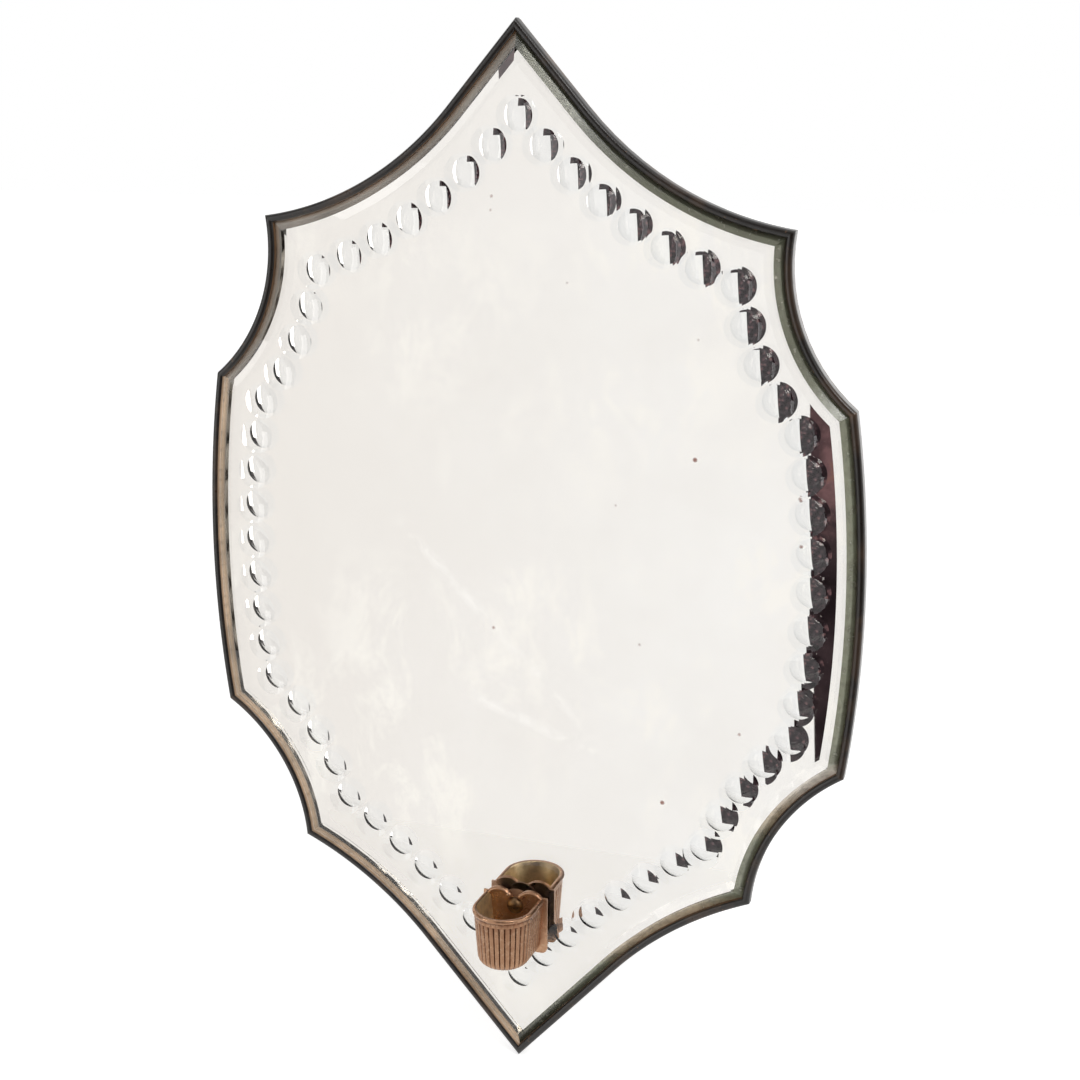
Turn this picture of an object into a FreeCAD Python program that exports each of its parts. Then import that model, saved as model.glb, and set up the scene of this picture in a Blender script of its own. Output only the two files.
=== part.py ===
import FreeCAD, Part
import math
import os

import Sketcher
from FreeCAD import Placement, Rotation, Vector

# Girandole mirror: a bevelled, shield-shaped glass on a board with a thin black edge, sixty round
# cuts along the outline and one fluted brass candle cup near the foot. It hangs on the wall.
# X is to the viewer's right, -Y towards the viewer, +Z up. The board's back is the plane Y = 0 and
# the origin is on it, at half the mirror's height.

doc = FreeCAD.newDocument("girandole_mirror")

# ---------------------------------------------------------------------------------------------
# Sizes in millimetres and degrees
# ---------------------------------------------------------------------------------------------
SIZES = {
    # outline of the black edge, right half; the left half mirrors it
    "top_tip": 259.5,
    "top_angle": 41.3,
    "top_curve": 157.5,
    "shoulder_out": 130.4,
    "shoulder_up": 169.0,
    "shoulder_hollow": 11.3,
    "side_top_out": 160.6,
    "side_top_up": 90.6,
    "side_bow": 6.4,
    "side_foot_out": 162.0,
    "side_foot_down": 82.3,
    "hip_hollow": 9.7,
    "hip_out": 119.3,
    "hip_down": 152.8,
    "foot_curve": 185.0,
    "foot_angle": 41.8,
    "foot_tip": 258.5,
    # layers, from the board's back to the front
    "board_thick": 6.5,
    "paper_thick": 0.4,
    "silver_thick": 0.2,
    "glass_thick": 6.0,
    # board: it reaches under the edge strips and is chamfered round its back
    "board_inset": 0.4,
    "board_chamfer": 4.6,
    # edge strips
    "strip_width": 3.8,
    "strip_setback": 1.0,
    "strip_chamfer": 1.1,
    "glue_gap": 0.2,
    # glass: a ground facet along the edge, the bevel inside it, then the round cuts
    "facet_width": 3.4,
    "facet_drop": 4.0,
    "bevel_width": 4.9,
    "bevel_drop": 1.2,
    "cuts_below_top": 42.4,
    "cuts_top_hollow": 7.6,
    "cuts_in_shoulder": 26.2,
    "cuts_below_shoulder": 25.7,
    "cuts_shoulder_hollow": 5.0,
    "cuts_in_side_top": 24.8,
    "cuts_below_side_top": 13.6,
    "cuts_side_bow": 6.9,
    "cuts_in_side_foot": 26.0,
    "cuts_above_side_foot": 15.5,
    "cuts_hip_hollow": 4.0,
    "cuts_in_hip": 23.9,
    "cuts_above_hip": 24.5,
    "cuts_foot_hollow": 3.8,
    "cuts_above_foot": 44.7,
    "cut_pitch": 18.3,
    "cut_width": 17.7,
    "cut_deep": 1.7,
    # candle cup
    "cup_rim_down": 165.5,
    "cup_tall": 30.0,
    "cup_half": 14.9,
    "cup_taper": 1.5,
    "cup_reach": 16.4,
    "lip_over": 0.9,
    "lip_tall": 2.0,
    "lip_round": 0.8,
    "band_tall": 2.6,
    "foot_round": 5.5,
    "rim_wall": 1.6,
    "foot_wall": 2.0,
    "cup_floor": 2.0,
    "reed_rise": 0.75,
    "front_reeds": 16.0,
    "side_reeds": 5.0,
    "plate_thick": 1.2,
    "plate_over": 2.2,
    "lobe_rise": 3.0,
    "lobe_notch": 5.0,
    "lobe_edge": 2.6,
    "notch_dip": 1.5,
    "plate_corner": 3.0,
    # bolt through cup, glass and board
    "bolt_down": 6.0,
    "bolt_thick": 5.0,
    "bolt_fit": 0.06,
    "head_wide": 9.0,
    "head_tall": 2.8,
    "slot_wide": 1.2,
    "slot_deep": 1.1,
    "glass_hole": 7.0,
    "board_hole": 6.0,
    "leather_wide": 16.0,
    "leather_thick": 1.2,
    "pocket_wide": 20.0,
    "pocket_deep": 4.2,
    "washer_wide": 15.0,
    "washer_thick": 1.0,
    "nut_wide": 9.5,
    "nut_tall": 2.6,
    "bolt_past": 0.3,
    # hanger
    "hanger_up": 196.0,
    "recess_wide": 26.0,
    "recess_above": 23.0,
    "recess_below": 33.0,
    "recess_deep": 3.0,
    "recess_round": 4.0,
    "plate_gauge": 1.4,
    "hanger_wide": 12.0,
    "hanger_long": 29.0,
    "hanger_end": 8.0,
    "ring_wire": 2.4,
    "ring_wide": 20.0,
    "ring_tall": 18.0,
    "ring_corner": 3.0,
    "ring_lift": 0.35,
    "eye_fit": 0.07,
    "eye_wall": 1.0,
    "screw_down": 7.5,
    "screw_pitch": 15.5,
    "screw_thick": 3.0,
    "screw_long": 4.4,
    "screw_head": 5.8,
    "screw_fit": 0.1,
    "screw_end_gap": 0.2,
}

sheet = doc.addObject("Spreadsheet::Sheet", "Sizes")
for row, (name, size) in enumerate(SIZES.items(), start=1):
    sheet.set("A%d" % row, name)
    sheet.set("B%d" % row, repr(size))
    sheet.setAlias("B%d" % row, name)
doc.recompute()


def size(name):
    return float(sheet.get(name))


def bind(obj, prop, expression):
    """Tie a property to the sheet; names in the expression are the sheet's aliases."""
    words = []
    for word in expression.replace("(", " ( ").replace(")", " ) ").split():
        words.append("Sizes." + word if word in SIZES else word)
    obj.setExpression(prop, " ".join(words))


# Distance of each layer's face from the board's back, as expressions of the sheet
BOARD_FRONT = "board_thick"
PAPER_FRONT = BOARD_FRONT + " + paper_thick"
SILVER_FRONT = PAPER_FRONT + " + silver_thick"
GLASS_FRONT = SILVER_FRONT + " + glass_thick"
PLATE_BACK = GLASS_FRONT + " + leather_thick"
PLATE_FRONT = PLATE_BACK + " + plate_thick"
RECESS_FLOOR = "recess_deep"
NUT_FRONT = "pocket_deep - washer_thick"


def depth(expression):
    """Value of a sum of sizes such as the ones above."""
    return sum(size(term) for term in expression.split(" + "))


# ---------------------------------------------------------------------------------------------
# The outline, drawn at any inset from the outer line of the black edge
# ---------------------------------------------------------------------------------------------
def bowed(start, end, bow, side):
    """Centre and radius of the arc that bows a given depth off its chord.

    With side +1 the centre lies left of the chord, with -1 right of it.
    """
    chord = end - start
    radius = (chord.Length ** 2 / 4 + bow ** 2) / (2 * bow)
    normal = Vector(-chord.y, chord.x, 0).normalize()
    return (start + end) * 0.5 + normal * side * (radius - bow), radius


def tangent_arc(tip, corner, slope, radius, up):
    """A straight line from the tip and an arc tangent to it that ends in the corner."""
    angle = math.radians(slope)
    along = Vector(math.sin(angle), -up * math.cos(angle), 0)
    outward = Vector(math.cos(angle), up * math.sin(angle), 0)
    reach = (corner - tip).dot(along)
    rise = (corner - tip).dot(outward)
    straight = reach - math.sqrt(radius ** 2 - (rise - radius) ** 2)
    joint = tip + along * straight
    return joint, outward, joint + outward * radius


def meet(centre_a, radius_a, centre_b, radius_b, near):
    """The crossing of two circles that lies nearest to a point."""
    between = centre_b - centre_a
    gap = between.Length
    along = (radius_a ** 2 - radius_b ** 2 + gap ** 2) / (2 * gap)
    across = math.sqrt(radius_a ** 2 - along ** 2)
    axis = between.normalize()
    foot = centre_a + axis * along
    normal = Vector(-axis.y, axis.x, 0)
    crossings = [foot + normal * across, foot - normal * across]
    return min(crossings, key=lambda point: (point - near).Length)


def outline(inset):
    """Right half of the outline at an inset: five edges, each a list of lines and arcs."""
    top = Vector(0, size("top_tip"), 0)
    foot = Vector(0, -size("foot_tip"), 0)
    shoulder = Vector(size("shoulder_out"), size("shoulder_up"), 0)
    side_top = Vector(size("side_top_out"), size("side_top_up"), 0)
    side_foot = Vector(size("side_foot_out"), -size("side_foot_down"), 0)
    hip = Vector(size("hip_out"), -size("hip_down"), 0)

    top_joint, top_out, top_centre = tangent_arc(top, shoulder, size("top_angle"), size("top_curve"), 1)
    foot_joint, foot_out, foot_centre = tangent_arc(foot, hip, size("foot_angle"), size("foot_curve"), -1)
    shoulder_centre, shoulder_radius = bowed(shoulder, side_top, size("shoulder_hollow"), 1)
    side_centre, side_radius = bowed(side_top, side_foot, size("side_bow"), -1)
    hip_centre, hip_radius = bowed(side_foot, hip, size("hip_hollow"), 1)

    # hollow edges have their centre outside, so their radius grows with the inset
    top_radius = size("top_curve") + inset
    shoulder_radius += inset
    side_radius -= inset
    hip_radius += inset
    foot_radius = size("foot_curve") + inset

    top_end = Vector(0, top.y - inset / math.sin(math.radians(size("top_angle"))), 0)
    foot_end = Vector(0, foot.y + inset / math.sin(math.radians(size("foot_angle"))), 0)
    top_joint = top_joint - top_out * inset
    foot_joint = foot_joint - foot_out * inset
    shoulder = meet(top_centre, top_radius, shoulder_centre, shoulder_radius, shoulder)
    side_top = meet(shoulder_centre, shoulder_radius, side_centre, side_radius, side_top)
    side_foot = meet(side_centre, side_radius, hip_centre, hip_radius, side_foot)
    hip = meet(hip_centre, hip_radius, foot_centre, foot_radius, hip)

    return {
        "top": [("line", top_end, top_joint), ("arc", top_joint, shoulder, top_centre)],
        "shoulder": [("arc", shoulder, side_top, shoulder_centre)],
        "side": [("arc", side_top, side_foot, side_centre)],
        "hip": [("arc", side_foot, hip, hip_centre)],
        "foot": [("arc", hip, foot_joint, foot_centre), ("line", foot_joint, foot_end)],
    }


def cut_path():
    """Line of the round cuts' centres in the right half: arcs between points set in from the corners."""
    top = Vector(0, size("top_tip") - size("cuts_below_top"), 0)
    shoulder = Vector(
        size("shoulder_out") - size("cuts_in_shoulder"), size("shoulder_up") - size("cuts_below_shoulder"), 0
    )
    side_top = Vector(
        size("side_top_out") - size("cuts_in_side_top"), size("side_top_up") - size("cuts_below_side_top"), 0
    )
    side_foot = Vector(
        size("side_foot_out") - size("cuts_in_side_foot"), size("cuts_above_side_foot") - size("side_foot_down"), 0
    )
    hip = Vector(size("hip_out") - size("cuts_in_hip"), size("cuts_above_hip") - size("hip_down"), 0)
    foot = Vector(0, size("cuts_above_foot") - size("foot_tip"), 0)
    path = []
    for start, end, bow, side in (
        (top, shoulder, "cuts_top_hollow", 1),
        (shoulder, side_top, "cuts_shoulder_hollow", 1),
        (side_top, side_foot, "cuts_side_bow", -1),
        (side_foot, hip, "cuts_hip_hollow", 1),
        (hip, foot, "cuts_foot_hollow", 1),
    ):
        path.append(("arc", start, end, bowed(start, end, size(bow), side)[0]))
    return path


def arc_middle(start, end, centre):
    radius = (start - centre).Length
    return centre + ((start + end) * 0.5 - centre).normalize() * radius


def curve(piece):
    """One line or arc as sketch geometry."""
    if piece[0] == "line":
        return Part.LineSegment(piece[1], piece[2])
    return Part.Arc(piece[1], arc_middle(piece[1], piece[2], piece[3]), piece[2])


def flip(piece):
    """The same line or arc in the left half, run the other way."""
    mirrored = [Vector(-point.x, point.y, 0) for point in piece[1:]]
    mirrored[0], mirrored[1] = mirrored[1], mirrored[0]
    return (piece[0], *mirrored)


def closed_outline(inset):
    right = [piece for edge in outline(inset).values() for piece in edge]
    left = [flip(piece) for piece in reversed(right)]
    return right + left


def turn_of(piece):
    """Signed angle of an arc about its centre, the short way round."""
    first = piece[1] - piece[3]
    last = piece[2] - piece[3]
    return math.atan2(first.x * last.y - first.y * last.x, first.dot(last))


def length_of(piece):
    if piece[0] == "line":
        return (piece[2] - piece[1]).Length
    return abs(turn_of(piece)) * (piece[1] - piece[3]).Length


def point_on(piece, share):
    """The point at a share of a line's or arc's length."""
    if piece[0] == "line":
        return piece[1] + (piece[2] - piece[1]) * share
    spoke = Rotation(Vector(0, 0, 1), math.degrees(turn_of(piece) * share)).multVec(piece[1] - piece[3])
    return piece[3] + spoke


def point_along(pieces, travel):
    """The point at a distance along a chain of lines and arcs."""
    for piece in pieces:
        length = length_of(piece)
        if travel <= length or piece is pieces[-1]:
            return point_on(piece, min(travel / length, 1.0))
        travel -= length


def compass_steps(pieces, count, stride):
    """Points along a chain, each the same straight stride from the one before."""
    total = sum(length_of(piece) for piece in pieces)
    travels = [0.0]
    for _ in range(count):
        here = point_along(pieces, travels[-1])
        low, high = travels[-1], min(travels[-1] + 2 * stride, 2 * total)
        for _ in range(30):
            middle = (low + high) / 2
            reach = (point_along(pieces, middle) - here).Length + max(0.0, middle - total)
            low, high = (middle, high) if reach < stride else (low, middle)
        travels.append((low + high) / 2)
    return travels, total


def equal_points(pieces, pitch):
    """Points from end to end of a chain at equal straight distances near the pitch."""
    count = max(2, round(sum(length_of(piece) for piece in pieces) / pitch))
    low, high = 0.5 * pitch, 1.5 * pitch
    for _ in range(30):
        stride = (low + high) / 2
        travels, total = compass_steps(pieces, count, stride)
        low, high = (stride, high) if travels[-1] < total else (low, stride)
    return [point_along(pieces, travel) for travel in travels[:-1]] + [pieces[-1][2]]


# ---------------------------------------------------------------------------------------------
# Helpers for bodies and sketches
# ---------------------------------------------------------------------------------------------
def new_body(label):
    body = doc.addObject("PartDesign::Body", label)
    body.Label = label
    return body


def new_sketch(body, name, role, offset=None):
    """A sketch on one of the body's own origin planes, moved along its normal by an expression."""
    sketch = body.newObject("Sketcher::SketchObject", name)
    plane = next(item for item in body.Origin.OriginFeatures if item.Role == role)
    sketch.AttachmentSupport = [(plane, "")]
    sketch.MapMode = "FlatFace"
    if offset:
        bind(sketch, "AttachmentOffset.Base.z", offset)
    return sketch


def add_curves(sketch, curves):
    """Closed chain of curves, joined end to end."""
    for item in curves:
        sketch.addGeometry(item, False)


def add_circle(sketch, centre, diameter, expression=None):
    number = sketch.addGeometry(Part.Circle(centre, Vector(0, 0, 1), diameter / 2), False)
    if expression:
        radius = sketch.addConstraint(Sketcher.Constraint("Diameter", number, diameter))
        bind(sketch, "Constraints[%d]" % radius, expression)
    return number


def add_pad(body, sketch, name, length, reverse=False):
    pad = body.newObject("PartDesign::Pad", name)
    pad.Profile = sketch
    bind(pad, "Length", length)
    pad.Reversed = reverse
    doc.recompute()
    return pad


def add_pocket(body, sketch, name, length=None, reverse=False):
    """A pocket, checked to have taken material away."""
    before = body.Shape.Volume
    pocket = body.newObject("PartDesign::Pocket", name)
    pocket.Profile = sketch
    pocket.Reversed = reverse
    if length:
        bind(pocket, "Length", length)
    else:
        pocket.Type = "ThroughAll"
        pocket.Midplane = True
    doc.recompute()
    if body.Shape.Volume >= before - 1e-6:
        raise ValueError(name + " cuts nothing")
    return pocket


def edges_where(feature, test):
    return ["Edge%d" % (i + 1) for i, edge in enumerate(feature.Shape.Edges) if test(edge)]


def faces_where(feature, test):
    return ["Face%d" % (i + 1) for i, face in enumerate(feature.Shape.Faces) if test(face)]


def rounded_slot(half_width, low, high, radius):
    """Rectangle with four round corners."""
    left, right = -half_width, half_width
    k = radius * (1 - math.sqrt(0.5))
    return [
        Part.LineSegment(Vector(left + radius, low, 0), Vector(right - radius, low, 0)),
        Part.Arc(Vector(right - radius, low, 0), Vector(right - k, low + k, 0), Vector(right, low + radius, 0)),
        Part.LineSegment(Vector(right, low + radius, 0), Vector(right, high - radius, 0)),
        Part.Arc(Vector(right, high - radius, 0), Vector(right - k, high - k, 0), Vector(right - radius, high, 0)),
        Part.LineSegment(Vector(right - radius, high, 0), Vector(left + radius, high, 0)),
        Part.Arc(Vector(left + radius, high, 0), Vector(left + k, high - k, 0), Vector(left, high - radius, 0)),
        Part.LineSegment(Vector(left, high - radius, 0), Vector(left, low + radius, 0)),
        Part.Arc(Vector(left, low + radius, 0), Vector(left + k, low + k, 0), Vector(left + radius, low, 0)),
    ]


parts = []

# ---------------------------------------------------------------------------------------------
# Derived places
# ---------------------------------------------------------------------------------------------
bolt_height = -(size("cup_rim_down") + size("bolt_down"))
bolt_centre = Vector(0, bolt_height, 0)
glass_front = depth(GLASS_FRONT)
plate_front = depth(PLATE_FRONT)
# distance of the cup's upright axis from the board's back
cup_axis = plate_front + size("cup_reach") - size("plate_thick")
ring_axis = depth(RECESS_FLOOR) - size("plate_gauge") - size("ring_lift") - size("ring_wire") / 2

# ---------------------------------------------------------------------------------------------
# Board, with the bolt pocket and the hanger recess at its back
# ---------------------------------------------------------------------------------------------
body_inset = size("strip_width") + size("glue_gap")

board = new_body("backboard")
sketch = new_sketch(board, "board_outline", "XZ_Plane")
add_curves(sketch, [curve(piece) for piece in closed_outline(size("board_inset"))])
pad = add_pad(board, sketch, "board_pad", "board_thick")
easing = board.newObject("PartDesign::Chamfer", "board_back_chamfer")
easing.Base = (pad, faces_where(pad, lambda face: abs(face.CenterOfMass.y) < 1e-6))
bind(easing, "Size", "board_chamfer")
doc.recompute()

sketch = new_sketch(board, "bolt_pocket_outline", "XZ_Plane")
add_circle(sketch, bolt_centre, size("pocket_wide"), "pocket_wide")
add_pocket(board, sketch, "bolt_pocket", "pocket_deep", reverse=True)

sketch = new_sketch(board, "board_hole_outline", "XZ_Plane")
add_circle(sketch, bolt_centre, size("board_hole"), "board_hole")
add_pocket(board, sketch, "board_hole_cut")

sketch = new_sketch(board, "recess_outline", "XZ_Plane")
add_curves(sketch, rounded_slot(
    size("recess_wide") / 2,
    size("hanger_up") - size("recess_below"),
    size("hanger_up") + size("recess_above"),
    size("recess_round"),
))
add_pocket(board, sketch, "recess", "recess_deep", reverse=True)

screw_heights = [
    size("hanger_up") - size("screw_down"),
    size("hanger_up") - size("screw_down") - size("screw_pitch"),
]
sketch = new_sketch(board, "pilot_outline", "XZ_Plane", RECESS_FLOOR)
for height in screw_heights:
    add_circle(sketch, Vector(0, height, 0), size("screw_thick") + size("screw_fit"), "screw_thick + screw_fit")
add_pocket(board, sketch, "pilot_holes", "screw_long - plate_gauge + screw_end_gap", reverse=True)
parts.append(board)

# ---------------------------------------------------------------------------------------------
# Paper and silvering: thin sheets between board and glass, both with the bolt hole
# ---------------------------------------------------------------------------------------------
for label, back, thick in (
    ("backing_sheet", BOARD_FRONT, "paper_thick"),
    ("silvering", PAPER_FRONT, "silver_thick"),
):
    sheet_body = new_body(label)
    sketch = new_sketch(sheet_body, label + "_outline", "XZ_Plane", back)
    add_curves(sketch, [curve(piece) for piece in closed_outline(body_inset)])
    add_circle(sketch, bolt_centre, size("glass_hole"), "glass_hole")
    add_pad(sheet_body, sketch, label + "_pad", thick)
    parts.append(sheet_body)

# ---------------------------------------------------------------------------------------------
# Glass: bevelled plate with the bolt hole, then the round cuts
# ---------------------------------------------------------------------------------------------
plate = new_body("glass_plate")
FACET_BACK = GLASS_FRONT + " - bevel_drop - facet_drop"
FACET_FRONT = GLASS_FRONT + " - bevel_drop"
glass_sections = []
for name, place, inset in (
    ("glass_edge", FACET_BACK, body_inset),
    ("facet_edge", FACET_FRONT, body_inset + size("facet_width")),
    ("bevel_edge", GLASS_FRONT, body_inset + size("facet_width") + size("bevel_width")),
):
    sketch = new_sketch(plate, name, "XZ_Plane", place)
    add_curves(sketch, [curve(piece) for piece in closed_outline(inset)])
    glass_sections.append(sketch)
slopes = plate.newObject("PartDesign::AdditiveLoft", "facet_and_bevel")
slopes.Profile = glass_sections[0]
slopes.Sections = glass_sections[1:]
slopes.Ruled = True
doc.recompute()
sketch = new_sketch(plate, "glass_outline", "XZ_Plane", SILVER_FRONT)
add_curves(sketch, [curve(piece) for piece in closed_outline(body_inset)])
add_pad(plate, sketch, "glass_pad", "glass_thick - bevel_drop - facet_drop")

sketch = new_sketch(plate, "glass_hole_outline", "XZ_Plane", SILVER_FRONT)
add_circle(sketch, bolt_centre, size("glass_hole"), "glass_hole")
add_pocket(plate, sketch, "glass_hole_cut")

# The cuts sit on a line that follows the outline, stepped off with a compass from the top tip to
# the foot. Each is the cap of a ball, ground into the front.
cut_radius = ((size("cut_width") / 2) ** 2 + size("cut_deep") ** 2) / (2 * size("cut_deep"))
right_centres = equal_points(cut_path(), size("cut_pitch"))
all_centres = right_centres + [Vector(-point.x, point.y, 0) for point in right_centres[1:-1]]

balls = []
for number, centre in enumerate(all_centres):
    ball = doc.addObject("Part::Sphere", "cut_ball_%02d" % number)
    bind(ball, "Radius", "( cut_width * cut_width / 4 + cut_deep * cut_deep ) / ( 2 * cut_deep )")
    ball.Placement = Placement(
        Vector(centre.x, -(glass_front - size("cut_deep") + cut_radius), centre.y),
        Rotation(Vector(1, 0, 0), 90),
    )
    balls.append(ball)
tools = doc.addObject("Part::Compound", "cut_balls")
tools.Links = balls
glass = doc.addObject("Part::Cut", "mirror_glass")
glass.Label = "mirror_glass"
glass.Base = plate
glass.Tool = tools
parts.append(glass)
doc.recompute()

# ---------------------------------------------------------------------------------------------
# Edge strips: black wood round the board and the glass, mitred at the corners
# ---------------------------------------------------------------------------------------------
outer = outline(0)
inner = outline(size("strip_width"))
strip_front = depth(GLASS_FRONT) - size("strip_setback")
for edge_name in outer:
    outside = outer[edge_name]
    inside = inner[edge_name]
    strip = new_body("edge_%s_right" % edge_name)
    sketch = new_sketch(strip, edge_name + "_profile", "XZ_Plane", BOARD_FRONT)
    profile = [curve(piece) for piece in outside]
    profile.append(Part.LineSegment(outside[-1][2], inside[-1][2]))
    for piece in reversed(inside):
        profile.append(curve((piece[0], piece[2], piece[1], *piece[3:])))
    profile.append(Part.LineSegment(inside[0][1], outside[0][1]))
    add_curves(sketch, profile)
    pad = add_pad(
        strip, sketch, edge_name + "_strip",
        "paper_thick + silver_thick + glass_thick - strip_setback",
    )
    long_shapes = [curve(piece).toShape() for piece in outside + inside]

    def on_long_front(edge):
        middle = edge.valueAt((edge.FirstParameter + edge.LastParameter) / 2)
        if abs(middle.y + strip_front) > 1e-6 or abs(edge.BoundBox.YLength) > 1e-6:
            return False
        flat = Part.Vertex(middle.x, middle.z, 0)
        return min(shape.distToShape(flat)[0] for shape in long_shapes) < 1e-4

    easing = strip.newObject("PartDesign::Chamfer", edge_name + "_easing")
    easing.Base = (pad, edges_where(pad, on_long_front))
    bind(easing, "Size", "strip_chamfer")
    doc.recompute()
    parts.append(strip)

    mirrored = doc.addObject("Part::Mirroring", "edge_%s_left" % edge_name)
    mirrored.Label = "edge_%s_left" % edge_name
    mirrored.Source = strip
    mirrored.Base = Vector(0, 0, 0)
    mirrored.Normal = Vector(1, 0, 0)
    parts.append(mirrored)
doc.recompute()

# ---------------------------------------------------------------------------------------------
# Candle cup: half round in front, straight sides to the back plate
# ---------------------------------------------------------------------------------------------
rim_height = -size("cup_rim_down")


def cup_line(half, reeds=False):
    """Plan of the cup at a half width: sides from the back plate, half circle in front.

    With reeds, each step of the line is a small outward arc. The plan is drawn in X and Y.
    """
    back = -plate_front
    axis = -cup_axis
    points = []
    sides = int(size("side_reeds"))
    fronts = int(size("front_reeds"))
    for step in range(sides):
        points.append(Vector(half, back + (axis - back) * step / sides, 0))
    for step in range(fronts + 1):
        angle = math.pi * step / fronts
        points.append(Vector(half * math.cos(angle), axis - half * math.sin(angle), 0))
    for step in range(sides - 1, -1, -1):
        points.append(Vector(-half, back + (axis - back) * step / sides, 0))
    curves = []
    if not reeds:
        curves.append(Part.LineSegment(Vector(half, back, 0), Vector(half, axis, 0)))
        curves.append(Part.Arc(Vector(half, axis, 0), Vector(0, axis - half, 0), Vector(-half, axis, 0)))
        curves.append(Part.LineSegment(Vector(-half, axis, 0), Vector(-half, back, 0)))
    else:
        inside = Vector(0, axis, 0)
        for start, end in zip(points[:-1], points[1:]):
            middle = (start + end) * 0.5
            outward = Vector(end.y - start.y, start.x - end.x, 0).normalize()
            if outward.dot(middle - inside) < 0:
                outward = outward * -1
            rise = size("reed_rise") * half / size("cup_half")
            curves.append(Part.Arc(start, middle + outward * rise, end))
    curves.append(Part.LineSegment(Vector(-half, back, 0), Vector(half, back, 0)))
    return curves


cup = new_body("candle_cup")

# fluted bowl: sections from under the band down to the rounded foot
bowl_top = rim_height - size("lip_tall") - size("band_tall")
bowl_low = rim_height - size("cup_tall")
turn = size("foot_round")
root = size("cup_half") - size("reed_rise")
sections = [(bowl_top, root), (bowl_low + turn, root - size("cup_taper"))]
for step in range(1, 5):
    angle = math.pi / 2 * step / 4
    sections.append((
        bowl_low + turn * (1 - math.sin(angle)),
        root - size("cup_taper") - turn * (1 - math.cos(angle)),
    ))
section_sketches = []
for number, (height, half) in enumerate(sections):
    sketch = new_sketch(cup, "bowl_section_%d" % number, "XY_Plane")
    sketch.AttachmentOffset = Placement(Vector(0, 0, height), Rotation())
    add_curves(sketch, cup_line(half, reeds=True))
    section_sketches.append(sketch)
bowl = cup.newObject("PartDesign::AdditiveLoft", "bowl")
bowl.Profile = section_sketches[0]
bowl.Sections = section_sketches[1:]
bowl.Ruled = True
doc.recompute()

# plain band and the lip above it
sketch = new_sketch(cup, "band_outline", "XY_Plane")
sketch.AttachmentOffset = Placement(Vector(0, 0, bowl_top), Rotation())
add_curves(sketch, cup_line(size("cup_half")))
add_pad(cup, sketch, "band", "band_tall")
sketch = new_sketch(cup, "lip_outline", "XY_Plane")
sketch.AttachmentOffset = Placement(Vector(0, 0, rim_height - size("lip_tall")), Rotation())
add_curves(sketch, cup_line(size("cup_half") + size("lip_over")))
lip = add_pad(cup, sketch, "lip", "lip_tall")

lip_half = size("cup_half") + size("lip_over")


def on_lip_edge(edge):
    box = edge.BoundBox
    flat = box.ZLength < 1e-6
    outer_side = box.XMax > lip_half - 1e-3 or box.XMin < -lip_half + 1e-3
    at_back = box.YMin > -plate_front - 1e-3
    return flat and outer_side and not at_back and box.ZMin > rim_height - size("lip_tall") - 1e-6


rounding = cup.newObject("PartDesign::Fillet", "lip_edge")
rounding.Base = (lip, edges_where(lip, on_lip_edge))
bind(rounding, "Radius", "lip_round")
doc.recompute()

# the hollow, wider at the rim than at its floor, and closed at the back by the back plate
hollow_sketches = []
for name, height, half in (
    ("hollow_rim", rim_height, size("cup_half") - size("rim_wall")),
    ("hollow_floor", rim_height - size("cup_tall") + size("cup_floor"),
     size("cup_half") - size("reed_rise") - size("cup_taper") - size("foot_wall")),
):
    sketch = new_sketch(cup, name, "XY_Plane")
    sketch.AttachmentOffset = Placement(Vector(0, 0, height), Rotation())
    add_curves(sketch, cup_line(half))
    hollow_sketches.append(sketch)
before = cup.Shape.Volume
hollow = cup.newObject("PartDesign::SubtractiveLoft", "hollow")
hollow.Profile = hollow_sketches[0]
hollow.Sections = hollow_sketches[1:]
hollow.Ruled = True
doc.recompute()
if cup.Shape.Volume >= before - 1e-6:
    raise ValueError("the hollow cuts nothing")
parts.append(cup)

# ---------------------------------------------------------------------------------------------
# Back plate of the cup, with two lobes above the rim
# ---------------------------------------------------------------------------------------------
back_plate = new_body("cup_back_plate")
sketch = new_sketch(back_plate, "back_plate_outline", "XZ_Plane", PLATE_BACK)
plate_half = size("cup_half") + size("plate_over")
low = bowl_low
high = rim_height
lobe = high + size("lobe_rise")
notch = size("lobe_notch") / 2
shelf = plate_half - size("lobe_edge")
corner = size("plate_corner")
k = corner * (1 - math.sqrt(0.5))
add_curves(sketch, [
    Part.LineSegment(Vector(-plate_half + corner, low, 0), Vector(plate_half - corner, low, 0)),
    Part.Arc(Vector(plate_half - corner, low, 0), Vector(plate_half - k, low + k, 0),
             Vector(plate_half, low + corner, 0)),
    Part.LineSegment(Vector(plate_half, low + corner, 0), Vector(plate_half, high, 0)),
    Part.LineSegment(Vector(plate_half, high, 0), Vector(shelf, high, 0)),
    Part.Arc(Vector(shelf, high, 0), Vector((shelf + notch) / 2, lobe, 0), Vector(notch, high, 0)),
    Part.Arc(Vector(notch, high, 0), Vector(0, high - size("notch_dip"), 0), Vector(-notch, high, 0)),
    Part.Arc(Vector(-notch, high, 0), Vector(-(shelf + notch) / 2, lobe, 0), Vector(-shelf, high, 0)),
    Part.LineSegment(Vector(-shelf, high, 0), Vector(-plate_half, high, 0)),
    Part.LineSegment(Vector(-plate_half, high, 0), Vector(-plate_half, low + corner, 0)),
    Part.Arc(Vector(-plate_half, low + corner, 0), Vector(-plate_half + k, low + k, 0),
             Vector(-plate_half + corner, low, 0)),
])
add_circle(sketch, bolt_centre, size("bolt_thick") + 2 * size("bolt_fit"), "bolt_thick + 2 * bolt_fit")
add_pad(back_plate, sketch, "back_plate_pad", "plate_thick")
parts.append(back_plate)

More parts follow.
